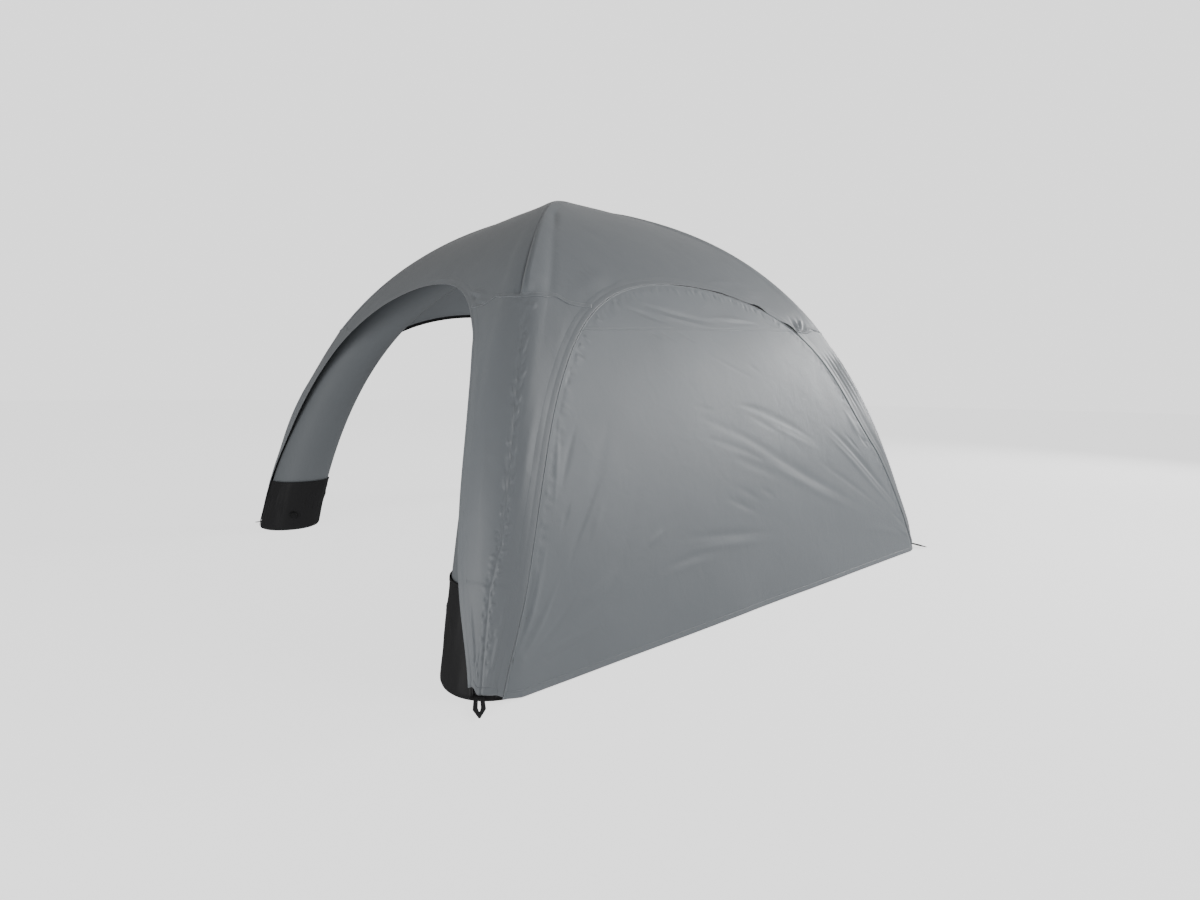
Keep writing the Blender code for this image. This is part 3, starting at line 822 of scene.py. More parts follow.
def cover_cut_area():
    """Flat area of a leg cover, cut alike for all four legs and neither slipped nor folded."""
    leg = "rear_left"
    d, s = cover_grid(leg)
    return grid_area(cover_points(leg, d, s, np.zeros(d.shape), slips=False))


def add_leg_cover(leg, material, trims):
    d, s = cover_grid(leg)
    points = cover_points(leg, d, s, cover_height(leg, d, s))
    mesh = grid_mesh(f"leg_cover_{leg}_cloth", points, np.stack([d, s], -1))
    piece = add_cloth(mesh, material, "cover_fabric", f"leg_cover_{leg}")
    cover_cut_area()


# Side wall.
WALL_COLUMNS = 286
WALL_ROWS = 164
WALL_EDGE = ZIP_WIDTH + 0.001
WALL_CORNER_RUN = 1.95
STITCH_PULL = 0.042
WALL_SEAM = (2.153, 0.0759, -0.0085)
# Each: start, middle, end, width, height, and then peak and skew where they matter.
WALL_FOLDS = [Fold(*fold) for fold in (
    ((-0.20, 1.52), (0.44, 1.185), (1.25, 0.83), 0.030, -0.0048, 0.55, 0.4),
    ((-0.10, 1.42), (0.42, 1.130), (1.25, 0.79), 0.026, 0.0040, 0.55, -0.3),
    ((-0.48, 1.59), (-0.10, 1.455), (0.30, 1.29), 0.026, -0.0030, 0.5, 0.3),
    ((-0.54, 1.48), (-0.12, 1.365), (0.33, 1.18), 0.018, -0.0028, 0.5, 0.3),
    ((-0.28, 1.34), (-0.02, 1.255), (0.28, 1.12), 0.028, -0.0028, 0.5, 0.3),
    ((-0.12, 1.66), (0.37, 1.525), (0.78, 1.33), 0.022, -0.0036, 0.5, 0.4),
    ((0.18, 1.54), (0.47, 1.415), (0.82, 1.29), 0.019, 0.0020, 0.5, -0.3),
    ((-0.02, 1.60), (0.18, 1.515), (0.36, 1.43), 0.016, -0.0022),
    ((-0.06, 1.645), (0.12, 1.618), (0.36, 1.575), 0.018, -0.0030),
    ((-0.44, 1.64), (-0.33, 1.62), (-0.22, 1.60), 0.014, -0.0020),
    ((0.60, 1.28), (1.02, 1.055), (1.52, 0.77), 0.016, -0.0032, 0.5, 0.4),
    ((0.86, 1.50), (1.24, 1.20), (1.74, 0.75), 0.024, -0.0075, 0.5, 0.5),
    ((0.84, 1.45), (1.21, 1.14), (1.70, 0.73), 0.019, 0.0048, 0.5, -0.3),
    ((1.08, 1.43), (1.20, 1.34), (1.32, 1.22), 0.014, -0.0034),
    ((-0.38, 1.11), (-0.21, 1.045), (-0.01, 0.945), 0.016, -0.0038, 0.5, 0.3),
    ((-0.28, 1.17), (-0.12, 1.10), (0.02, 1.02), 0.014, -0.0028, 0.5, 0.3),
    ((-0.04, 1.135), (0.06, 1.09), (0.16, 1.04), 0.012, -0.0026),
    ((-0.84, 0.94), (-0.35, 0.895), (0.14, 0.84), 0.020, -0.0044, 0.5, 0.3),
    ((-0.80, 0.87), (-0.36, 0.845), (0.10, 0.795), 0.017, 0.0036),
    ((-1.04, 0.78), (-0.70, 0.828), (-0.40, 0.822), 0.013, -0.0038, 0.5, 0.3),
    ((-1.00, 0.745), (-0.70, 0.790), (-0.42, 0.785), 0.013, 0.0026),
    ((-1.02, 0.92), (-0.92, 0.965), (-0.82, 1.00), 0.018, 0.0034),
    ((-0.64, 2.29), (-0.29, 2.222), (0.22, 2.182), 0.017, -0.0048, 0.5, 0.3),
    ((-0.62, 2.255), (-0.27, 2.188), (0.20, 2.150), 0.014, 0.0028),
    ((-0.76, 2.24), (-0.55, 2.188), (-0.32, 2.125), 0.014, -0.0042, 0.5, 0.3),
    ((-0.08, 2.230), (0.22, 2.250), (0.54, 2.235), 0.016, 0.0036),
    ((0.12, 2.215), (0.32, 2.222), (0.52, 2.215), 0.014, -0.0026),
    ((-0.64, 2.11), (-0.56, 2.065), (-0.50, 2.02), 0.010, -0.0030),
    ((-0.54, 2.12), (-0.46, 2.065), (-0.39, 2.02), 0.010, -0.0034),
    ((-0.42, 2.13), (-0.30, 2.075), (-0.15, 1.99), 0.012, -0.0034, 0.5, 0.3),
    ((-0.18, 2.11), (-0.06, 2.065), (0.05, 2.01), 0.012, -0.0030),
    ((-0.24, 2.01), (0.01, 1.896), (0.32, 1.77), 0.010, -0.0026),
    ((0.16, 1.93), (0.25, 1.885), (0.35, 1.82), 0.010, -0.0020),
    ((0.53, 2.29), (0.65, 2.25), (0.76, 2.205), 0.015, -0.0032),
    ((1.25, 1.62), (1.32, 1.47), (1.40, 1.33), 0.040, 0.0050),
    ((1.33, 1.42), (1.40, 1.34), (1.45, 1.28), 0.018, -0.0040),
    ((1.39, 1.336), (1.43, 1.345), (1.49, 1.32), 0.013, -0.0034),
    ((1.50, 0.83), (1.68, 0.70), (1.84, 0.59), 0.015, -0.0030),
    ((1.55, 0.69), (1.72, 0.605), (1.84, 0.545), 0.013, 0.0030),
    ((1.05, 0.72), (1.38, 0.68), (1.74, 0.575), 0.028, 0.0030),
    ((-1.13, 1.37), (-1.345, 1.11), (-1.48, 0.89), 0.020, -0.0048, 0.5, -0.3),
    ((-1.18, 1.22), (-1.27, 1.10), (-1.33, 0.98), 0.018, 0.0030),
    ((-1.26, 1.58), (-1.37, 1.40), (-1.45, 1.23), 0.018, -0.0038),
    ((-1.36, 1.62), (-1.44, 1.36), (-1.50, 1.16), 0.014, 0.0030),
    ((-1.39, 1.22), (-1.44, 1.14), (-1.49, 1.06), 0.011, -0.0032),
    ((-1.05, 1.60), (-1.20, 1.35), (-1.32, 1.12), 0.040, -0.0030),
    ((-0.90, 1.35), (-1.12, 0.98), (-1.32, 0.70), 0.046, -0.0026),
    ((-1.16, 0.88), (-1.33, 0.79), (-1.49, 0.705), 0.026, 0.0040),
    ((-1.20, 0.80), (-1.34, 0.735), (-1.50, 0.665), 0.018, -0.0030),
    ((-1.28, 0.665), (-1.55, 0.605), (-1.77, 0.55), 0.014, 0.0040),
    ((-1.30, 0.63), (-1.54, 0.58), (-1.75, 0.535), 0.012, -0.0026),
    ((-1.60, 1.08), (-1.69, 0.84), (-1.75, 0.68), 0.013, -0.0082, 0.6),
    ((-1.62, 0.94), (-1.70, 0.75), (-1.79, 0.59), 0.012, -0.0070, 0.6),
    ((-1.64, 1.00), (-1.715, 0.80), (-1.775, 0.65), 0.012, 0.0055, 0.5),
    ((-1.55, 1.06), (-1.665, 0.80), (-1.76, 0.61), 0.018, 0.0065, 0.5),
    ((-1.50, 0.92), (-1.636, 0.72), (-1.75, 0.585), 0.014, 0.0048),
    ((-1.42, 0.82), (-1.58, 0.68), (-1.74, 0.57), 0.012, -0.0036),
)]


def edge_puckers(random, start, end, near, far):
    """Small creases that a zip's stitching draws into the cloth along the right arch."""
    folds = []
    for run in np.arange(start, end, STITCH_PULL):
        shift, lean = random.uniform(-0.015, 0.015), random.uniform(-0.025, 0.025)
        places = run + shift + np.array([0.0, 0.5, 1.0]) * lean
        x, s = arch_at(places, np.linspace(near, far * random.uniform(0.7, 1.3), 3))
        height = random.uniform(0.0012, 0.0034) * random.choice([-1.0, 1.0])
        folds.append(Fold(*zip(x, s), random.uniform(0.009, 0.013), height, peak=0.35))
    return folds


WALL_FOLDS += edge_puckers(np.random.default_rng(700), 0.15, WHOLE_ARCH - 0.15, 0.040, 0.110)


def wall_grid():
    """Grid over the wall as (across, length): floor, the two zip edges and the arch's top."""
    corner = WALL_CORNER_RUN
    density = lambda u: 1.0 + 1.6 * bump_at(u, 0.0, 0.07) + 0.6 * bump_at(u, 1.0, 0.07)
    across = graded(0.0, 1.0, WALL_COLUMNS, density)
    left = np.stack(arch_at(np.linspace(0.0, corner, WALL_ROWS + 1), WALL_EDGE), -1)
    right = left * [-1.0, 1.0]
    top = np.stack(arch_at(corner + 2 * (ARCH_LENGTH - corner) * across, WALL_EDGE), -1)
    u = across[None, :, None]
    v = shares(WALL_ROWS)[:, None, None]
    bottom = left[0] + (right[0] - left[0]) * u[0]
    flat = (1 - v) * bottom[None] + v * top[None] + (1 - u) * left[:, None] + u * right[:, None]
    flat -= (1 - u) * (1 - v) * left[0] + u * (1 - v) * right[0] + (1 - u) * v * left[-1] + u * v * right[-1]
    return flat[..., 0], flat[..., 1]


def wall_height(x, s):
    """Height of the wall off the plain skin, at (across, length)."""
    x, s = np.broadcast_arrays(np.asarray(x, float), np.asarray(s, float))
    noise = WALL_NOISE
    lift = WALL_WAVE * noise(x * 1.6 + 4, s * 2.2) + WALL_RIPPLE * noise(x * 6, s * 7 + 5)
    lift += sum_of(WALL_FOLDS, x, s)
    inside = smooth_step(arch_distance(x, s), WALL_EDGE, WALL_EDGE + EDGE_FADE)
    return common_height("right", x, s) + lift * inside


def add_side_wall(material, trims):
    x, s = wall_grid()
    points = side_points("right", x, s, wall_height(x, s))
    mesh = grid_mesh("side_wall_cloth", points, np.stack([x, s], -1))
    nodes = ("side_wall_lower_right", "side_wall_upper_right")
    piece = add_cloth(mesh, material, "wall_fabric", *nodes)


# Trims. Each cross-section is (distance over the cloth, height off it).
ARCH_STEPS = 360
HEM_PROFILE = np.array([
    (-0.0400, -0.0005), (-0.0340, 0.0004), (-0.0300, 0.0008), (-0.0200, 0.0011), (-0.0100, 0.0012),
    (-0.0055, 0.0007), (-0.0020, 0.0014), (0.0050, 0.0025), (0.0110, 0.0029), (0.0140, 0.0024)])
WALL_FLAP = 0.0105
OPEN_TAPE = np.array([0.0140, 0.0012])[None, :, None]
TAPE_PROFILE = np.array([
    (-0.0040, -0.0014), (0.0080, -0.0010), (0.0165, -0.0008), (0.0185, 0.0008), (0.0215, 0.0015),
    (0.0245, 0.0008), (0.0260, -0.0008)])
PIPING_PROFILE = np.array([
    (0.0255, 0.0002), (0.0264, 0.0024), (0.0285, 0.0034), (0.0306, 0.0024), (0.0322, 0.0004)])
LIP_PROFILE = np.array([
    (-0.0070, 0.0014), (-0.0060, 0.0034), (-0.0030, 0.0036), (0.0040, 0.0030), (0.0070, 0.0020),
    (0.0090, 0.0010), (0.0110, 0.0018), (0.0150, 0.0016), (0.0175, 0.0003)])
FOLD_SEAM_PROFILE = np.array([
    (-0.0090, 0.0002), (-0.0078, 0.0013), (-0.0052, 0.0014), (-0.0036, 0.0005), (0.0, 0.0016),
    (0.0036, 0.0005), (0.0052, 0.0014), (0.0078, 0.0013), (0.0090, 0.0002)])
BOTTOM_PROFILE = np.array([
    (0.0, 0.0006), (0.0020, 0.0022), (0.0080, 0.0025), (0.0200, 0.0022), (0.0235, 0.0008),
    (0.0260, 0.0018), (0.0290, 0.0003)])
GAPS = ((-0.20, 0.10, 0.3), (0.25, 0.15, 0.4), (0.62, 0.06, 1.0), (0.91, 0.06, 1.0))


def add_trim(name, points, flat, material, slot, *nodes):
    """A strip from points over (steps across it, steps along it)."""
    return add_cloth(grid_mesh(name, points, flat), material, slot, *nodes, thickness=TRIM_CLOTH)


def arch_strip(side, start, end, inward, lift):
    """Points and flat of a strip along an arch. inward and lift hold a row for each line of it."""
    run = np.linspace(start, end, ARCH_STEPS + 1)
    edge_x, edge_s = arch_at(run)
    base = common_height(side, edge_x, edge_s)
    inward, lift = (np.broadcast_to(v, (len(v), len(run))) for v in (inward, lift))
    rows = [np.stack(arch_at(run, row), -1) for row in inward]
    x, s = np.moveaxis(np.stack(rows), -1, 0)
    outside = np.where(inward < -0.002, skin_height(side, x, s), base)
    points = side_points(side, x, s, outside + lift)
    return points, np.stack([np.broadcast_to(run, x.shape), inward], -1)


def opened(side, run, x, s):
    """How far the flap over the wall's zip stands open, from 0 to 1."""
    if side != "right":
        return np.zeros_like(run)
    gap = sum(size * bump_at(x, middle, width) * (s > 2.0) for middle, width, size in GAPS)
    return np.clip(gap + 0.30 * (x > -0.5) * WALL_NOISE(run * 4.0, run * 0 + 0.5), 0.0, 1.0)


def add_arch_trims(side, black, cloth):
    """Tape with its teeth, and the hemmed flap that covers the tape from outside."""
    tape_profile = TAPE_PROFILE[:, :, None] - (0.0 if side == "right" else OPEN_TAPE)
    points, flat = arch_strip(side, 0.0, WHOLE_ARCH, tape_profile[:, 0], tape_profile[:, 1])
    add_trim(f"arch_zip_{side}_tape", points, flat, black, "zip_tape", f"arch_zip_{side}")
    ends = (cover_base(LEG_BELOW[side], 1.0), cover_base(LEG_ABOVE[side], -1.0))
    start, low = (float(np.interp(length, ARCH_FLAT[:, 1], ARCH_RUN)) for length in ends)
    end = WHOLE_ARCH - low
    run = np.linspace(start, end, ARCH_STEPS + 1)
    x, s = arch_at(run)
    gap = opened(side, run, x, s)
    free = smooth_step(HEM_PROFILE[:, 0], -0.002, 0.014)[:, None]
    wider = WALL_FLAP if side == "right" else 0.0
    inward = HEM_PROFILE[:, :1] + (wider - 0.024 * gap) * free
    lift = HEM_PROFILE[:, 1:] + 0.0045 * gap * free
    points, flat = arch_strip(side, start, end, inward, lift)
    return add_trim(f"arch_hem_{side}_cloth", points, flat, cloth, "cover_fabric")


def add_cover_trims(leg, cloth):
    """The roof's stitched lip over the top of a cover, and the hem along the cover's foot."""
    d, s = seam_line(np.linspace(-1.0, 1.0, 101))
    d, s = np.broadcast_to(d, (len(LIP_PROFILE), len(d))), s + LIP_PROFILE[:, :1]
    points = cover_points(leg, d, s, cover_height(leg, d, s) + LIP_PROFILE[:, 1:])
    lip = add_trim(f"roof_lip_{leg}_cloth", points, np.stack([d, s], -1), cloth, "roof_fabric")
    u = np.linspace(-1.0, 1.0, 61)
    s = cover_base(leg, u) + BOTTOM_PROFILE[:, :1]
    d = u * cover_half(s)
    points = cover_points(leg, d, s, cover_height(leg, d, s) + BOTTOM_PROFILE[:, 1:])
    hem = add_trim(f"cover_hem_{leg}_cloth", points, np.stack([d, s], -1), cloth, "cover_fabric")
    return lip, hem


def wall_seam(x):
    """Length up the side of the wall's seam, by across."""
    return WALL_SEAM[0] + WALL_SEAM[1] * x + WALL_SEAM[2] * x * x


def add_wall_trims(cloth):
    """Piping beside the wall's zip, its one seam and the hem along the floor."""
    profile = PIPING_PROFILE[:, :, None]
    points, flat = arch_strip("right", 0.0, WHOLE_ARCH, profile[:, 0], profile[:, 1])
    piping = add_trim("wall_piping_cloth", points, flat, cloth, "wall_fabric")
    x = np.linspace(-1.2, 1.2, 600)
    s = wall_seam(x)
    inside = np.abs(x) < arch_half_width(s) - WALL_EDGE - 0.006
    x = np.linspace(x[inside].min(), x[inside].max(), 161)
    s = wall_seam(x) + FOLD_SEAM_PROFILE[:, :1]
    x = np.broadcast_to(x, s.shape)
    points = side_points("right", x, s, wall_height(x, s) + FOLD_SEAM_PROFILE[:, 1:])
    seam = add_trim("wall_seam_cloth", points, np.stack([x, s], -1), cloth, "wall_fabric")
    u = np.linspace(-1.0, 1.0, 241)
    s = BASE_LENGTH + BOTTOM_PROFILE[:, :1] + 0 * u
    x = u * (arch_half_width(s) - WALL_EDGE)
    points = side_points("right", x, s, wall_height(x, s) + BOTTOM_PROFILE[:, 1:])
    hem = add_trim("wall_hem_cloth", points, np.stack([x, s], -1), cloth, "wall_fabric")
    return [piping, seam, hem]


# Tubes.
TUBE_COLUMNS = 64
TUBE_ROWS = 96
STUB_ROWS = 24
CROWN_VOXEL = 0.010
CROWN_SOFTENING = 12


def around_leg(leg, t, angle, lift):
    """World points round a leg's centre line; angle 0 is the ridge line."""
    centre, direction, radius = centre_line(t)
    out = np.stack([direction[..., 1], np.zeros_like(radius), -direction[..., 0]], -1)
    aside = np.array([0.0, 1.0, 0.0])
    normal = out * np.cos(angle)[..., None] + aside * np.sin(angle)[..., None]
    middle = np.stack([centre[..., 0], np.zeros_like(radius), centre[..., 1]], -1)
    local = middle + (radius + lift)[..., None] * normal
    return turned(local[..., 0], local[..., 1], local[..., 2], LEGS[leg])


def closed_flat(angle, radius, up):
    """Cut cloth of a tube, with its first column repeated as its last."""
    around = np.append(angle, 2 * math.pi) * radius
    up = np.concatenate([up, up[:, :1]], axis=1)
    return np.stack([np.broadcast_to(around, up.shape), up], -1)


def add_leg_tube(leg, material):
    angle = np.linspace(0.0, 2 * math.pi, TUBE_COLUMNS, endpoint=False)
    t_low = t_at_plane(angle, TUBE_BASE, -TUBE_CLEARANCE)
    t_high = t_at_reach(angle, CROWN_JOINT_REACH, -TUBE_CLEARANCE)
    share = shares(TUBE_ROWS)[:, None]
    t = t_low + (t_high - t_low) * share
    angles = np.broadcast_to(angle, t.shape)
    points = around_leg(leg, t, angles, np.full(t.shape, -TUBE_CLEARANCE))
    flat = closed_flat(angle, CROWN_RADIUS, length_at(t))
    mesh = grid_mesh(f"air_tube_{leg}", points, flat, closed=True)
    fill_holes(mesh)
    piece = add_piece(mesh, material, "air_tube", f"leg_tube_{leg}")


def t_at_plane(angle, z, lift):
    """t at which each line along the tube crosses a height."""
    ts = np.linspace(-0.15, 0.4, 300)
    t, a = np.meshgrid(ts, angle, indexing="ij")
    heights = around_leg("front_right", t, a, np.full(t.shape, lift))[..., 2]
    return np.array([np.interp(z, heights[:, i], ts) for i in range(len(angle))])


def t_at_reach(angle, reach, lift):
    """t at which each line along the tube comes within a distance of the tent's middle plane."""
    ts = np.linspace(0.5, 1.05, 300)
    centre, direction, radius = centre_line(ts)
    along = centre[:, None, 0] + (radius[:, None] + lift) * direction[:, None, 1] * np.cos(angle)
    return np.array([np.interp(-reach, -along[:, i], ts) for i in range(len(angle))])


def add_crown(material):
    """Chamber where the tubes meet: four tapered stubs blended into one skin."""
    shape = bmesh.new()
    angle = np.linspace(0.0, 2 * math.pi, TUBE_COLUMNS, endpoint=False)
    t_low = t_at_reach(angle, CROWN_JOINT_REACH, -TUBE_CLEARANCE)
    share = shares(STUB_ROWS)[:, None]
    t = t_low + (1.0 - t_low) * share
    angles = np.broadcast_to(angle, t.shape)
    for leg in LEGS:
        points = around_leg(leg, t, angles, np.full(t.shape, -TUBE_CLEARANCE))
        mesh = grid_mesh(f"stub_{leg}", points, closed_flat(angle, CROWN_RADIUS, t), closed=True)
        fill_holes(mesh)
        shape.from_mesh(mesh)
        bpy.data.meshes.remove(mesh)
    mesh = bpy.data.meshes.new("crown_chamber")
    shape.to_mesh(mesh)
    shape.free()
    piece = add_piece(mesh, material, "air_tube", "tube_crown")
    remesh = piece.modifiers.new("One skin", "REMESH")
    remesh.mode = "VOXEL"
    remesh.voxel_size = CROWN_VOXEL
    remesh.use_smooth_shade = True
    soften = piece.modifiers.new("Soften", "SMOOTH")
    soften.factor = 0.5
    soften.iterations = CROWN_SOFTENING


# Feet.
SLEEVE_COLUMNS = 192
SLEEVE_ROWS = 33
SLEEVE_WAVE, SLEEVE_RIPPLE = 0.0026, 0.0010
UPRIGHT_CREASES = 34
SLANTING_CREASES = 12
SLEEVE_NOISE = {leg: SmoothNoise(80 + i) for i, leg in enumerate(LEGS)}
SLEEVE_HEM = np.array([
    (-0.0180, 0.0002), (-0.0165, 0.0014), (-0.0140, 0.0014), (-0.0125, 0.0005), (-0.0105, 0.0016),
    (-0.0030, 0.0018), (-0.0005, 0.0012), (0.0005, 0.0002)])


def sleeve_folds(leg):
    """Lengthwise folds round a sleeve and a few that run aslant from its top, as (round, up)."""
    random = np.random.default_rng(500 + list(LEGS).index(leg))
    girth = 2 * math.pi * FOOT_RADIUS
    folds = []
    for _ in range(UPRIGHT_CREASES):
        place, lean = random.uniform(0.05, girth - 0.05), random.uniform(-0.02, 0.02)
        low, high = random.uniform(0.01, 0.14), random.uniform(0.20, 0.40)
        height = random.uniform(0.0030, 0.0060) * random.choice([-1.0, 1.0])
        middle = (place + lean * 0.3, (low + high) / 2)
        folds.append(Fold((place, low), middle, (place + lean, high), random.uniform(0.006, 0.013), height))
    for _ in range(SLANTING_CREASES):
        place, high = random.uniform(0.05, girth - 0.15), random.uniform(0.27, 0.40)
        reach, drop = random.uniform(0.05, 0.11), random.uniform(0.05, 0.12)
        middle, end = (place + reach / 2, high - drop * 0.4), (place + reach, high - drop)
        width, height = random.uniform(0.008, 0.013), random.uniform(0.003, 0.0055)
        folds.append(Fold((place, high), middle, end, width, height))
    return folds


def sleeve_height(leg, angle, up):
    noise = SLEEVE_NOISE[leg]
    turn = angle / (2 * math.pi) * SmoothNoise.CELLS
    wave = SLEEVE_WAVE * noise(turn * 0.5, up * 2.5) + SLEEVE_RIPPLE * noise(turn, up * 6)
    ease = np.clip(up / 0.03, 0.0, 1.0) * np.clip((SLEEVE_TOP - up) / 0.05, 0.1, 1.0)
    return SLEEVE_LIFT + ease * (wave + sum_of(SLEEVE_FOLDS[leg], angle * FOOT_RADIUS, up))


SLEEVE_FOLDS = {leg: sleeve_folds(leg) for leg in LEGS}


def sleeve_place(angle, up):
    """Place t along the leg of the sleeve's point at an angle and a height."""
    low = t_at_plane(angle, 0.0, SLEEVE_LIFT)
    high = t_at_plane(angle, SLEEVE_TOP, SLEEVE_LIFT)
    return low + (high - low) * up / SLEEVE_TOP


def add_foot_sleeve(leg, material):
    angle = np.linspace(0.0, 2 * math.pi, SLEEVE_COLUMNS, endpoint=False)
    share = shares(SLEEVE_ROWS)[:, None]
    up = SLEEVE_TOP * share ** 1.15 * np.ones((1, SLEEVE_COLUMNS))
    angles = np.broadcast_to(angle, up.shape)
    rounding = FOOT_ROUND - np.sqrt(np.maximum(FOOT_ROUND**2 - np.maximum(FOOT_ROUND - up, 0.0) ** 2, 0.0))
    lift = sleeve_height(leg, angles, up) - rounding
    points = around_leg(leg, sleeve_place(angle, up), angles, lift)
    points[0, :, 2] = 0.0
    flat = closed_flat(angle, FOOT_RADIUS, up)
    mesh = grid_mesh(f"foot_sleeve_{leg}_cloth", points, flat, closed=True)
    fill_holes(mesh, FOOT_ROUND)
    piece = add_cloth(mesh, material, "black_sleeve", f"foot_sleeve_{leg}", offset=-1.0)
    up = SLEEVE_TOP + SLEEVE_HEM[:, :1] * np.ones((1, SLEEVE_COLUMNS))
    angles = np.broadcast_to(angle, up.shape)
    lift = sleeve_height(leg, angles, np.minimum(up, SLEEVE_TOP)) + SLEEVE_HEM[:, 1:]
    points = around_leg(leg, sleeve_place(angle, up), angles, lift)
    flat = closed_flat(angle, FOOT_RADIUS, up)
    mesh = grid_mesh(f"sleeve_hem_{leg}_cloth", points, flat, closed=True)
    hem = add_cloth(mesh, material, "black_sleeve", thickness=TRIM_CLOTH)


# Stage.
def add_camera():
    cos, sin = math.cos, math.sin
    az, tilt, roll = CAMERA_AZIMUTH, CAMERA_TILT, CAMERA_ROLL
    forward = Vector((-sin(az) * cos(tilt), cos(az) * cos(tilt), -sin(tilt)))
    level = Vector((cos(az), sin(az), 0.0))
    upright = level.cross(forward)
    right = level * cos(roll) + upright * sin(roll)
    up = upright * cos(roll) - level * sin(roll)
    data = bpy.data.cameras.new("camera")
    data.lens = CAMERA_LENS
    data.shift_x, data.shift_y = CAMERA_SHIFT
    camera = bpy.data.objects.new("camera", data)
    turn = Matrix((right, up, -forward)).transposed().to_4x4()
    camera.matrix_world = Matrix.Translation(CAMERA_PLACE) @ turn
    bpy.context.scene.collection.objects.link(camera)
    bpy.context.scene.camera = camera


def add_light(name, place, size, energy):
    """A soft round lamp, turned toward the tent."""
    data = bpy.data.lights.new(name, "AREA")
    data.shape = "DISK"
    data.size = size
    data.energy = energy
    lamp = bpy.data.objects.new(name, data)
    lamp.location = place
    lamp.rotation_mode = "QUATERNION"
    lamp.rotation_quaternion = (LIGHT_TARGET - Vector(place)).to_track_quat("-Z", "Y")
    lamp.visible_camera = False
    bpy.context.scene.collection.objects.link(lamp)


def at_angles(distance, azimuth, height):
    """Place at a distance from the lights' target, with its direction given in degrees."""
    a, h = math.radians(azimuth), math.radians(height)
    level = math.cos(h)
    return LIGHT_TARGET + distance * Vector((math.cos(a) * level, math.sin(a) * level, math.sin(h)))


def glow_material(name, colour, strength):
    material = bpy.data.materials.new(name)
    material.use_nodes = True
    shader = material.node_tree.nodes["Principled BSDF"]
    shader.inputs["Base Color"].default_value = (*colour, 1.0)
    shader.inputs["Roughness"].default_value = 0.9
    shader.inputs["Emission Color"].default_value = (1.0, 1.0, 1.0, 1.0)
    shader.inputs["Emission Strength"].default_value = strength
    return material


def add_floor(name, height, material, size):
    bpy.ops.mesh.primitive_plane_add(size=size, location=(0.0, 0.0, height))
    floor = bpy.context.object
    floor.name = name
    floor.data.materials.append(material)
    return floor


LIGHT_TARGET = Vector((0.0, 0.0, 1.0))
BLACK = (0.0, 0.0, 0.0)
FLOOR_COLOUR = (0.45, 0.45, 0.45)
FLOOR_SIZE = 120.0
FLOOR_HEIGHT = -0.0015
SHADE_HEIGHT = -0.003
BOUNCE_HEIGHT = -0.006
BACKDROP_RADIUS = 50.0
AMBIENT = 0.10
FLOOR_BOUNCE = 1.0
FLOOR_GLOW = 1.6
BACKDROP_GLOW = 1.72
SHADED_FLOOR = 3.4
SHADED_BOUNCE = 0.95
# Name, (distance, azimuth, height), size and energy.
LAMPS = (
    ("rear_key", (12.0, 75.0, 20.0), 4.0, 666.0),
    ("right_fill", (7.0, 29.0, 26.0), 4.5, 240.0),
    ("front_fill", (7.0, -74.0, 2.0), 4.5, 200.0),
)


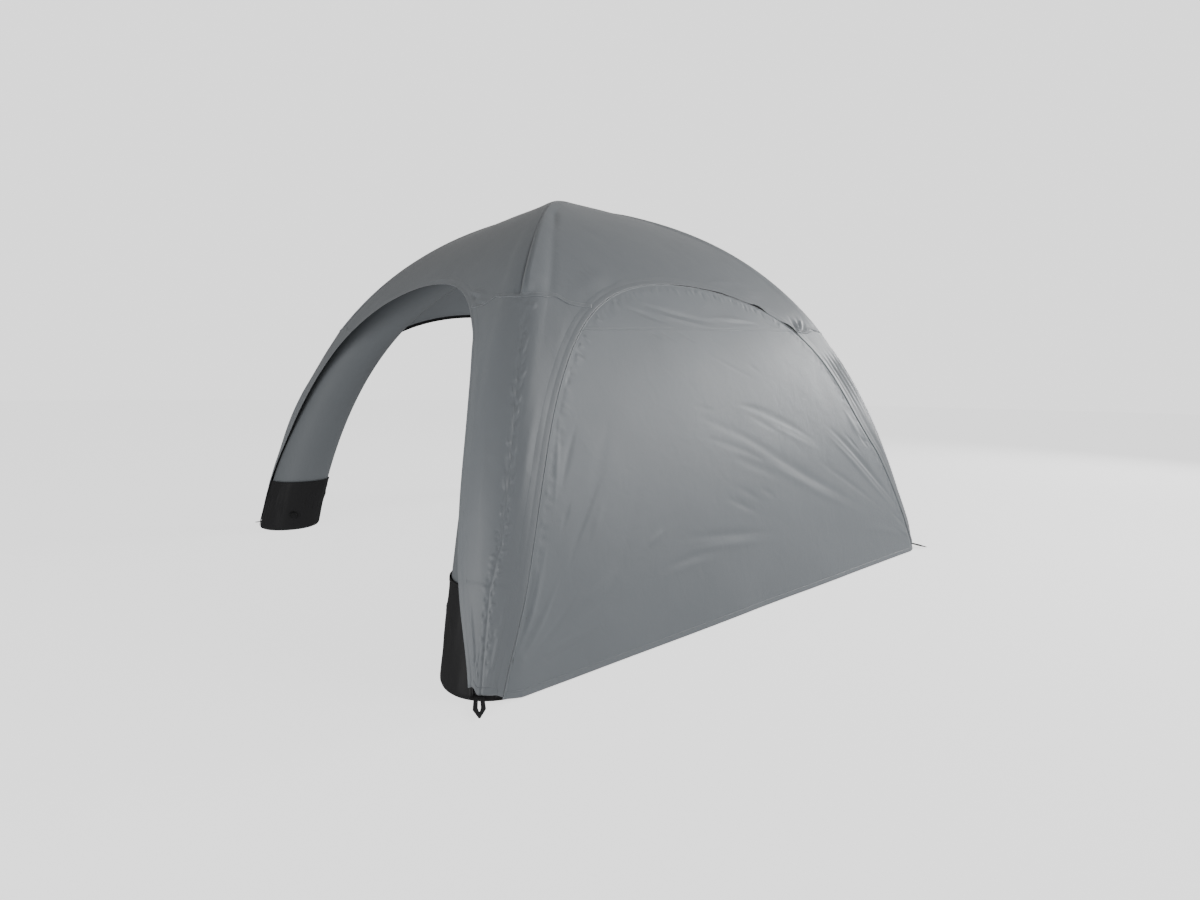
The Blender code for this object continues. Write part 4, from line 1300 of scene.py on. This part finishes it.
def add_stage():
    """Pale floor and backdrop, soft light that the floor throws back, and three soft lamps."""
    world = bpy.data.worlds.new("studio")
    world.use_nodes = True
    world.node_tree.nodes["Background"].inputs["Color"].default_value = (1.0, 1.0, 1.0, 1.0)
    world.node_tree.nodes["Background"].inputs["Strength"].default_value = AMBIENT
    bpy.context.scene.world = world
    pale = glow_material("pale_floor", FLOOR_COLOUR, FLOOR_GLOW)
    floor = add_floor("floor", FLOOR_HEIGHT, pale, FLOOR_SIZE)
    floor.visible_diffuse = False
    floor.visible_glossy = False
    bright = glow_material("floor_light", BLACK, FLOOR_BOUNCE)
    bounce = add_floor("floor_bounce", BOUNCE_HEIGHT, bright, FLOOR_SIZE)
    shaded = glow_material("shaded_floor", BLACK, SHADED_BOUNCE)
    shade = add_floor("floor_shade", SHADE_HEIGHT, shaded, SHADED_FLOOR)
    for light in (bounce, shade):
        light.visible_camera = False
        light.visible_glossy = False
    bpy.ops.mesh.primitive_uv_sphere_add(segments=64, ring_count=32, radius=BACKDROP_RADIUS)
    backdrop = bpy.context.object
    backdrop.name = "backdrop"
    backdrop.data.materials.append(glow_material("pale_backdrop", BLACK, BACKDROP_GLOW))
    for flag in ("visible_diffuse", "visible_glossy", "visible_transmission", "visible_shadow"):
        setattr(backdrop, flag, False)
    for name, place, size, energy in LAMPS:
        add_light(name, at_angles(*place), size, energy)


def dress_trim(webbing, plastic):
    """Finish for the pieces that keep their construction mesh."""
    for leg in LEGS:
        for node, finish, slot in (("peg_loop", webbing, "webbing"), ("inflation_valve", plastic, "valve")):
            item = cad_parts[f"{node}_{leg}"]
            item.data.materials.clear()
            item.data.materials.append(finish)


def build():
    roof = woven_material("roof_polyester", (0.172, 0.187, 0.202), 0.48)
    cover = woven_material("cover_polyester", (0.180, 0.195, 0.210), 0.48)
    wall = woven_material("wall_polyester", (0.194, 0.212, 0.229), 0.49)
    # The tubes' cloth is set darker than the cover's same polyester: painted shade for the shade the tubes
    # lie in inside the tent.
    tube = woven_material("tube_polyester_darkened_as_shade", (0.145, 0.157, 0.168), 0.58, sheen=0.05, specular=0.25)
    sleeve = woven_material("black_nylon", (0.023, 0.023, 0.024), 0.42, sheen=0.02, specular=0.10)
    webbing = woven_material("black_webbing", (0.012, 0.012, 0.013), 0.55, thread=0.003, sheen=0.1)
    tape = woven_material("black_tape", (0.010, 0.010, 0.011), 0.5, thread=0.0022, sheen=0.05)
    plastic = plain_material("black_plastic", (0.014, 0.014, 0.015), 0.4)
    for side in SIDES:
        add_roof_panel(side, roof, [add_arch_trims(side, tape, cover)])
    for leg in LEGS:
        add_leg_cover(leg, cover, add_cover_trims(leg, cover))
        add_leg_tube(leg, tube)
        add_foot_sleeve(leg, sleeve)
    add_crown(tube)
    add_side_wall(wall, add_wall_trims(wall))
    dress_trim(webbing, plastic)


add_camera()
add_stage()
build()
